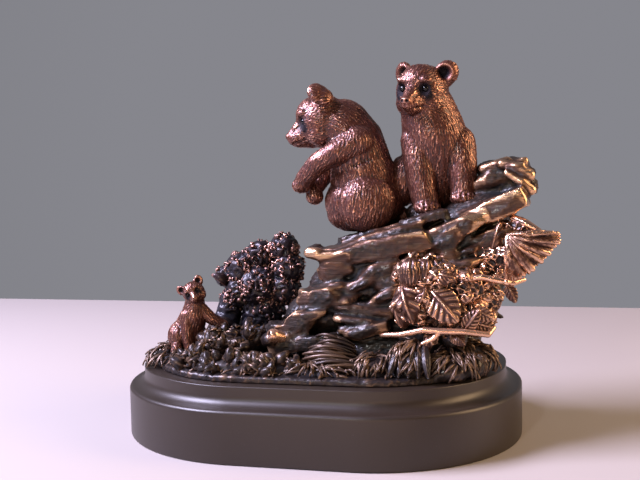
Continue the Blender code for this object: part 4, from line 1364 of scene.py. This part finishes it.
# %% Scatter the low plants
PLANTS_PER_MOUND = 26
low_mesh = bmesh.new()
chance = random.Random(8)
for x, y, z, *radii in (*MOUNDS[1:3], *MOUNDS[6:9]):
    for _ in range(PLANTS_PER_MOUND):
        away = random_way(chance)
        away.z = abs(away.z)
        away.y = -abs(away.y)
        spot = Vector((x, y, z)) + Vector([away[i] * radii[i] for i in range(3)]) * 0.92
        lean = (away + Vector((0, 0, 0.6)) + random_way(chance) * 0.7).normalized()
        size = chance.uniform(4.6, 8.0)
        blade(low_mesh, spot - lean * size * 0.4, spot + lean * size * 0.6, size * 0.62,
              (random_way(chance) + Vector((0, -1, 0.5))), (6, 8), 0.3, 0.35, vein=0.15, ribs=3,
              ruffle=1.2, phase=chance.random())
low_plants = leaf_piece("low_plants", low_mesh, 0.6 * MM, 2)

# %% [markdown]
# ## The plinth
# The base is a moulding that runs round an oval of four flats and four quarter rounds: a lower
# tier with a rounded rim, a hollow above it and a flat top. A lathe can't turn an oval, so each
# ring of the profile is the oval drawn a little smaller, and the rings are bridged. The packed
# plinth has coarse corners, and this one has the same sizes with a finer step.

# %% The plinth's profile
END_FLAT, TIER_STEP, COVE_HEIGHT, RIM_ROUND, FOOT_ROUND, TOP_EDGE = 6.0, 6.4, 4.0, 1.6, 0.8, 0.4
LOWER_TIER = 20.4
CORNER_STEPS, ROUND_STEPS = 40, 8
PLINTH_CREASE = 40
plinth_size = (plinth_high - plinth_low) / MM
plinth_round = (plinth_size.y - END_FLAT) / 2
quarter_turns = [step / ROUND_STEPS * math.pi / 2 for step in range(ROUND_STEPS + 1)]
rings = [(FOOT_ROUND * (1 - math.sin(turn)), FOOT_ROUND * (1 - math.cos(turn))) for turn in quarter_turns]
rings += [(RIM_ROUND * (1 - math.cos(turn)), LOWER_TIER - RIM_ROUND * (1 - math.sin(turn)))
          for turn in quarter_turns]
rings += [(RIM_ROUND + (TIER_STEP - RIM_ROUND) * math.sin(turn),
           LOWER_TIER + COVE_HEIGHT * (1 - math.cos(turn))) for turn in quarter_turns[1:]]
rings += [(TIER_STEP + TOP_EDGE * (1 - math.cos(turn)), plinth_size.z - TOP_EDGE * (1 - math.sin(turn)))
          for turn in quarter_turns]
print("the profile has", len(rings), "rings, each an inset and a height")

# %% [markdown]
# ## Running the moulding
# Each ring is a loop of edges at its own height. Two neighbouring loops are bridged with faces, and
# the lowest and the highest loop are filled. Only real creases stay sharp when it is shaded smooth.

# %% Model the plinth
base_mesh = bmesh.new()
loops = []
for inset, height in rings:
    places = oval(plinth_size.x / 2 - plinth_round, plinth_size.y / 2 - plinth_round,
                  plinth_round - inset, CORNER_STEPS)
    ring = [base_mesh.verts.new(Vector((x, y, height)) * MM) for x, y in places]
    loops.append([base_mesh.edges.new((ring[i - 1], ring[i])) for i in range(len(ring))])
    if len(loops) > 1:
        bmesh.ops.bridge_loops(base_mesh, edges=loops[-2] + loops[-1])
for loop in (loops[0], loops[-1]):
    bmesh.ops.edgeloop_fill(base_mesh, edges=loop)
bmesh.ops.recalc_face_normals(base_mesh, faces=base_mesh.faces)
plinth_base = make_object("plinth_base", base_mesh)
finish_piece(plinth_base, "plinth")
plinth_base.data.set_sharp_from_angle(angle=math.radians(PLINTH_CREASE))

# %% [markdown]
# ## Nodes as sums
# A material is a small graph of sums, so it is written as sums. A wire stands for one value in the
# graph, and adding or multiplying wires makes the nodes. The node editor could do the same by hand.
# Written this way, each finish below reads as a recipe.

# %% Wires between nodes
class Wire:
    """One value in a graph, which can be added, subtracted, multiplied and ramped."""

    def __init__(self, graph, socket):
        self.graph, self.socket = graph, socket

    def math(self, operation, first, second):
        return self.graph.node("Math", {0: first, 1: second}, operation=operation)

    def __add__(self, other):
        return self.math("ADD", self, other)

    def __radd__(self, other):
        return self.math("ADD", other, self)

    def __sub__(self, other):
        return self.math("SUBTRACT", self, other)

    def __rsub__(self, other):
        return self.math("SUBTRACT", other, self)

    def __mul__(self, other):
        return self.math("MULTIPLY", self, other)

    def __rmul__(self, other):
        return self.math("MULTIPLY", other, self)

    def ramp(self, low, high, start=0.0, end=1.0):
        """The start up to low, the end from high on, and an even change between them."""
        return self.graph.node("MapRange", {0: self, 1: low, 2: high, 3: start, 4: end})


class Graph:
    """A tree of nodes, in which every node comes from one method."""

    def __init__(self, tree):
        self.tree = tree

    def node(self, kind, inputs=None, output=0, **settings):
        made = self.tree.nodes.new("ShaderNode" + kind)
        for name, value in settings.items():
            setattr(made, name, value)
        for key, value in (inputs or {}).items():
            self.plug(value, made.inputs[key])
        return Wire(self, made.outputs[output])

    def plug(self, value, socket):
        if isinstance(value, Wire):
            self.tree.links.new(value.socket, socket)
        else:
            socket.default_value = value


print("wires add, subtract, multiply and ramp")

# %% [markdown]
# ## Paint
# A paint is a material with one main shader. Patterns read the place on the object, and each
# piece's own attributes, because both stay with the piece when it is seen from another side or
# exported.

# %% Paint for materials
class Paint(Graph):
    """A material, its shader's sockets set by name to a plain value or a wire."""

    def __init__(self, name, **plain):
        self.material = bpy.data.materials.new(name)
        self.material.use_nodes = True
        super().__init__(self.material.node_tree)
        self.shader = self.tree.nodes["Principled BSDF"]
        self.set(**plain)

    def set(self, **values):
        for name, value in values.items():
            self.plug(value, self.shader.inputs[name.replace("_", " ").title().replace("Ior", "IOR")])

    def attribute(self, name):
        return self.node("Attribute", output=2, attribute_name=name)

    def place(self):
        return self.node("TexCoord", output=3)

    def noise(self, scale, detail, vector=None):
        return self.node("TexNoise", {"Vector": vector or self.place(), "Scale": scale,
                                      "Detail": detail})

    def mix(self, share, low, high):
        return self.node("Mix", {0: share, 6: low, 7: high}, output=2, data_type="RGBA")

    def bump(self, height, distance):
        return self.node("Bump", {"Height": height, "Distance": distance})


print("a paint sets its shader's sockets by name")

# %% [markdown]
# ## Copper bronze
# The plating has three tones. A near-black patina lies in the crevices, a red-brown copper covers
# most of it, and rubbed edges shine pale. The height kept on each skin chooses between them, and a
# cloudy noise shifts the choice a little. The patina is rougher and less metallic, the edges are
# bare metal, and a thin clear lacquer over all picks up the light around it. Everything darkens
# towards the ground.

# %% The copper recipe
PATINA, SOCKET_BLACK = (0.010, 0.0075, 0.009, 1), (0.006, 0.007, 0.012, 1)
PATINA_HEIGHT = 0.12
GROUND_LINE, FADE_LINE = casting_low.z, casting_low.z + 0.040
CLOUD_SCALE, GRAIN_SCALE, STRATA_SCALE = 90, 900, 130
STRATA_STRETCH = (1, 1.4, 9)
GRAIN_DEPTH = 0.06 * MM


def copper_finish(name, body, bright, shade, rubbed, foot, rough=0.34, patina_and_reflection=PATINA, strata=0.0):
    """A copper whose body is whole from the height shade on and turns bright between two rubbed ones.

    The foot is the share of both that is left at the ground, and strata adds streaks to the grain."""
    paint = Paint(name, coat_roughness=0.20)
    cloud, fine = paint.noise(CLOUD_SCALE, 4.0), paint.noise(GRAIN_SCALE, 3.0)
    laid = paint.node("Mapping", {"Vector": paint.place(), "Scale": STRATA_STRETCH,
                                  "Rotation": (0, math.radians(BEDDING_RISE), 0)})
    lines = paint.noise(STRATA_SCALE, 4.0, laid)
    tone = paint.attribute("height") + (cloud - 0.5) * 0.35
    lift = paint.node("SeparateXYZ", {0: paint.place()}, output=2).ramp(GROUND_LINE, FADE_LINE)
    # Darker towards the ground: near it, only the foot's share of the body and bright tones is left.
    ground_fade = lift * (1 - foot) + foot
    covered = tone.ramp(PATINA_HEIGHT, shade) * ground_fade
    rubbed_edge = tone.ramp(*rubbed) * ground_fade
    dark = paint.attribute("dark")
    colour = paint.mix(covered, patina_and_reflection, body)
    colour = paint.mix(rubbed_edge, colour, bright)
    colour = paint.mix(dark * 0.93, colour, SOCKET_BLACK)
    roughness = rough + 0.20 - covered * 0.14 - rubbed_edge * 0.12 + (fine - 0.5) * 0.10 + dark * 0.3
    paint.set(base_color=colour, metallic=0.35 + covered * 0.6, roughness=roughness,
              coat_weight=(1 - dark) * 0.30, normal=paint.bump(fine + lines * strata, GRAIN_DEPTH))
    return paint.material


print("the plating darkens below", round(FADE_LINE / MM), "mm")

# %% [markdown]
# ## Six coppers
# The fur is the reddest. The rock is browner, with streaks along its bedding. The bush and the
# ground are nearly black with a few bright edges, and the leaves are the brightest.

# %% Copper bronze finishes
COPPER, PALE_COPPER = (0.215, 0.070, 0.043, 1), (0.98, 0.56, 0.39, 1)
FUR_PATINA = (0.018, 0.008, 0.009, 1)
fur_finish = copper_finish("copper_fur", COPPER, PALE_COPPER, 0.84, (0.58, 0.95), 0.8, 0.29,
                           FUR_PATINA)
small_finish = copper_finish("copper_small_cub", COPPER, PALE_COPPER, 0.80, (0.55, 0.90), 1.0, 0.28,
                             FUR_PATINA)
rock_finish = copper_finish("copper_rock", (0.115, 0.055, 0.032, 1), (0.84, 0.53, 0.31, 1), 0.80,
                            (0.68, 1.02), 0.30, 0.33, (0.007, 0.0085, 0.009, 1), strata=6.0)
# The bush's crevices are near black with a blue cast: the dark is its patina, the blue is a painted
# reflection of the cool light.
bush_finish = copper_finish("copper_bush", (0.05, 0.025, 0.020, 1), (0.80, 0.44, 0.34, 1), 1.0,
                            (0.76, 1.08), 0.35, patina_and_reflection=(0.005, 0.006, 0.014, 1))
leaf_finish = copper_finish("copper_leaf", (0.15, 0.060, 0.036, 1), (0.98, 0.60, 0.40, 1), 0.92,
                            (0.62, 0.98), 0.55, 0.22)
ground_finish = copper_finish("copper_ground", (0.040, 0.023, 0.016, 1), (0.48, 0.29, 0.17, 1), 1.0,
                              (0.70, 1.08), 0.36, 0.32)
print("six coppers, one recipe")

# %% [markdown]
# ## Black lacquer and eyes
# The plinth is satin black with a little dust. Its brown is partly the lacquer's own cast and partly
# a painted warm reflection. The eyes are gloss black.

# %% Lacquer and eyes
# Both blacks are warmed: partly the lacquer's own brown cast, partly a painted warm reflection.
BLACK, BROWN_BLACK_AND_SHEEN = (0.018, 0.0125, 0.009, 1), (0.027, 0.018, 0.0125, 1)
DUST = (0.20, 0.19, 0.18, 1)
lacquer = Paint("satin_lacquer", coat_weight=0.0)
mottle = lacquer.noise(35, 5.0)
dust = lacquer.noise(2600, 1.0).ramp(0.74, 0.80)
lacquer.set(base_color=lacquer.mix(dust * 0.25, lacquer.mix(mottle, BLACK, BROWN_BLACK_AND_SHEEN), DUST),
            roughness=0.34 + mottle * 0.10 + dust * 0.2,
            normal=lacquer.bump(lacquer.noise(1500, 2.0), 0.02 * MM))
eye_gloss = Paint("eye_gloss", base_color=(0.003, 0.003, 0.004, 1), roughness=0.04,
                  specular_ior_level=0.4)
print("two blacks:", lacquer.material.name, "and", eye_gloss.material.name)

# %% [markdown]
# ## Putting the finishes on
# Each piece wears one finish all over.

# %% Put the finishes on
WORN_BY = (
    (fur_finish, (left_cub, right_cub)),
    (small_finish, (small_cub,)),
    (rock_finish, (rock,)),
    (bush_finish, (bush_core, bush_leaves)),
    (leaf_finish, (cluster_net, cluster_leaves, buds, large_leaf, twigs)),
    (ground_finish, (ground, low_plants, grass)),
    (eye_gloss.material, (eye_beads,)),
    (lacquer.material, (plinth_base,)),
)
for finish, pieces in WORN_BY:
    for piece in pieces:
        piece.data.materials.clear()
        piece.data.materials.append(finish)
        print(piece.name, "wears", finish.name)

# %% [markdown]
# ## Camera
# The sculpture is seen a little from the right of its front and slightly from above, through a
# lens of normal length. The angles and the distance were found by laying the plinth's two ovals
# over the photograph. The camera is turned to its target with a tracking rotation and then tilted.

# %% Set the camera
LENS, SENSOR = 50, 36
AZIMUTH, ELEVATION, TILT = math.radians(13.36), math.radians(4.26), math.radians(-1.12)
DISTANCE = 376.75 * MM
target = Vector((-0.84, 0, 78.3)) * MM
camera_data = bpy.data.cameras.new("camera")
camera = add_object("camera", camera_data)
bpy.context.scene.camera = camera
camera_data.lens = LENS
camera_data.sensor_width = SENSOR
back = Vector((math.sin(AZIMUTH) * math.cos(ELEVATION), -math.cos(AZIMUTH) * math.cos(ELEVATION),
               math.sin(ELEVATION)))
camera.location = target + back * DISTANCE
turned = back.to_track_quat("Z", "Y").to_matrix() @ Matrix.Rotation(TILT, 3, "Z")
camera.rotation_euler = turned.to_euler()
print("the camera stands", round(DISTANCE / MM), "mm away")

# %% [markdown]
# ## Floor
# The floor is plain and pale. It ends a little way behind the sculpture, so that its far edge lies
# across the view as a horizon.

# %% Lay the floor
FLOOR_REACH, FLOOR_EDGE = 1.6, 0.34
floor_mesh = bmesh.new()
bmesh.ops.create_grid(floor_mesh, x_segments=1, y_segments=1, size=FLOOR_REACH)
bmesh.ops.translate(floor_mesh, verts=floor_mesh.verts, vec=(0, FLOOR_EDGE - FLOOR_REACH, 0))
floor = make_object("floor", floor_mesh)
floor_paint = Paint("floor_paint", base_color=(0.42, 0.38, 0.35, 1), roughness=0.7)
floor.data.materials.append(floor_paint.material)
print("the floor ends", FLOOR_EDGE, "m behind the middle")

# %% [markdown]
# ## Lights
# A large cool softbox stands at the upper left and a warm one at the right. A low warm strip lights
# the undersides from the front, and a small spark gives the eyes and edges their glint. The lights
# themselves are kept out of the camera's view.

# %% Hang the softboxes
LIT_PLACE = (0.02, 0, 0.09)


def soft_light(name, place, size, power, colour):
    data = bpy.data.lights.new(name, "AREA")
    data.shape = "RECTANGLE"
    data.size, data.size_y = size
    data.energy = power
    data.color = colour
    light = add_object(name, data)
    light.location = place
    light.visible_camera = False
    light.rotation_euler = (Vector(place) - Vector(LIT_PLACE)).to_track_quat("Z", "Y").to_euler()


soft_light("cool_softbox", (-0.58, -0.26, 0.66), (0.45, 0.35), 28, (0.70, 0.66, 0.92))
soft_light("warm_softbox", (0.78, 0.02, 0.38), (0.40, 0.6), 6.5, (1.0, 0.66, 0.38))
soft_light("low_glow", (0.10, -0.75, 0.05), (0.8, 0.08), 1.1, (1.0, 0.60, 0.34))
soft_light("spark", (-0.12, -0.80, 0.42), (0.05, 0.05), 1.2, (1.0, 0.97, 0.92))
print("four soft lights")

# %% [markdown]
# ## The surroundings
# What surrounds the sculpture is an even grey, and it darkens towards the viewer, so that the metal
# has something dark to reflect. It is the world's own background, because a sheet that is hung up
# behind would cast shadows and stand in the way of other views.

# %% Surround it with grey
world = bpy.data.worlds.new("world")
bpy.context.scene.world = world
world.use_nodes = True
around = Graph(world.node_tree)
air = around.tree.nodes["Background"]
backwards = around.node("SeparateXYZ", {0: around.node("TexCoord")}, output=1)
around.plug(backwards.ramp(-0.6, 0.9, 0.025, 0.34), air.inputs["Strength"])
around.plug((0.70, 0.70, 0.78, 1), air.inputs["Color"])
bpy.context.scene.view_settings.view_transform = "Standard"
print("grey all round")
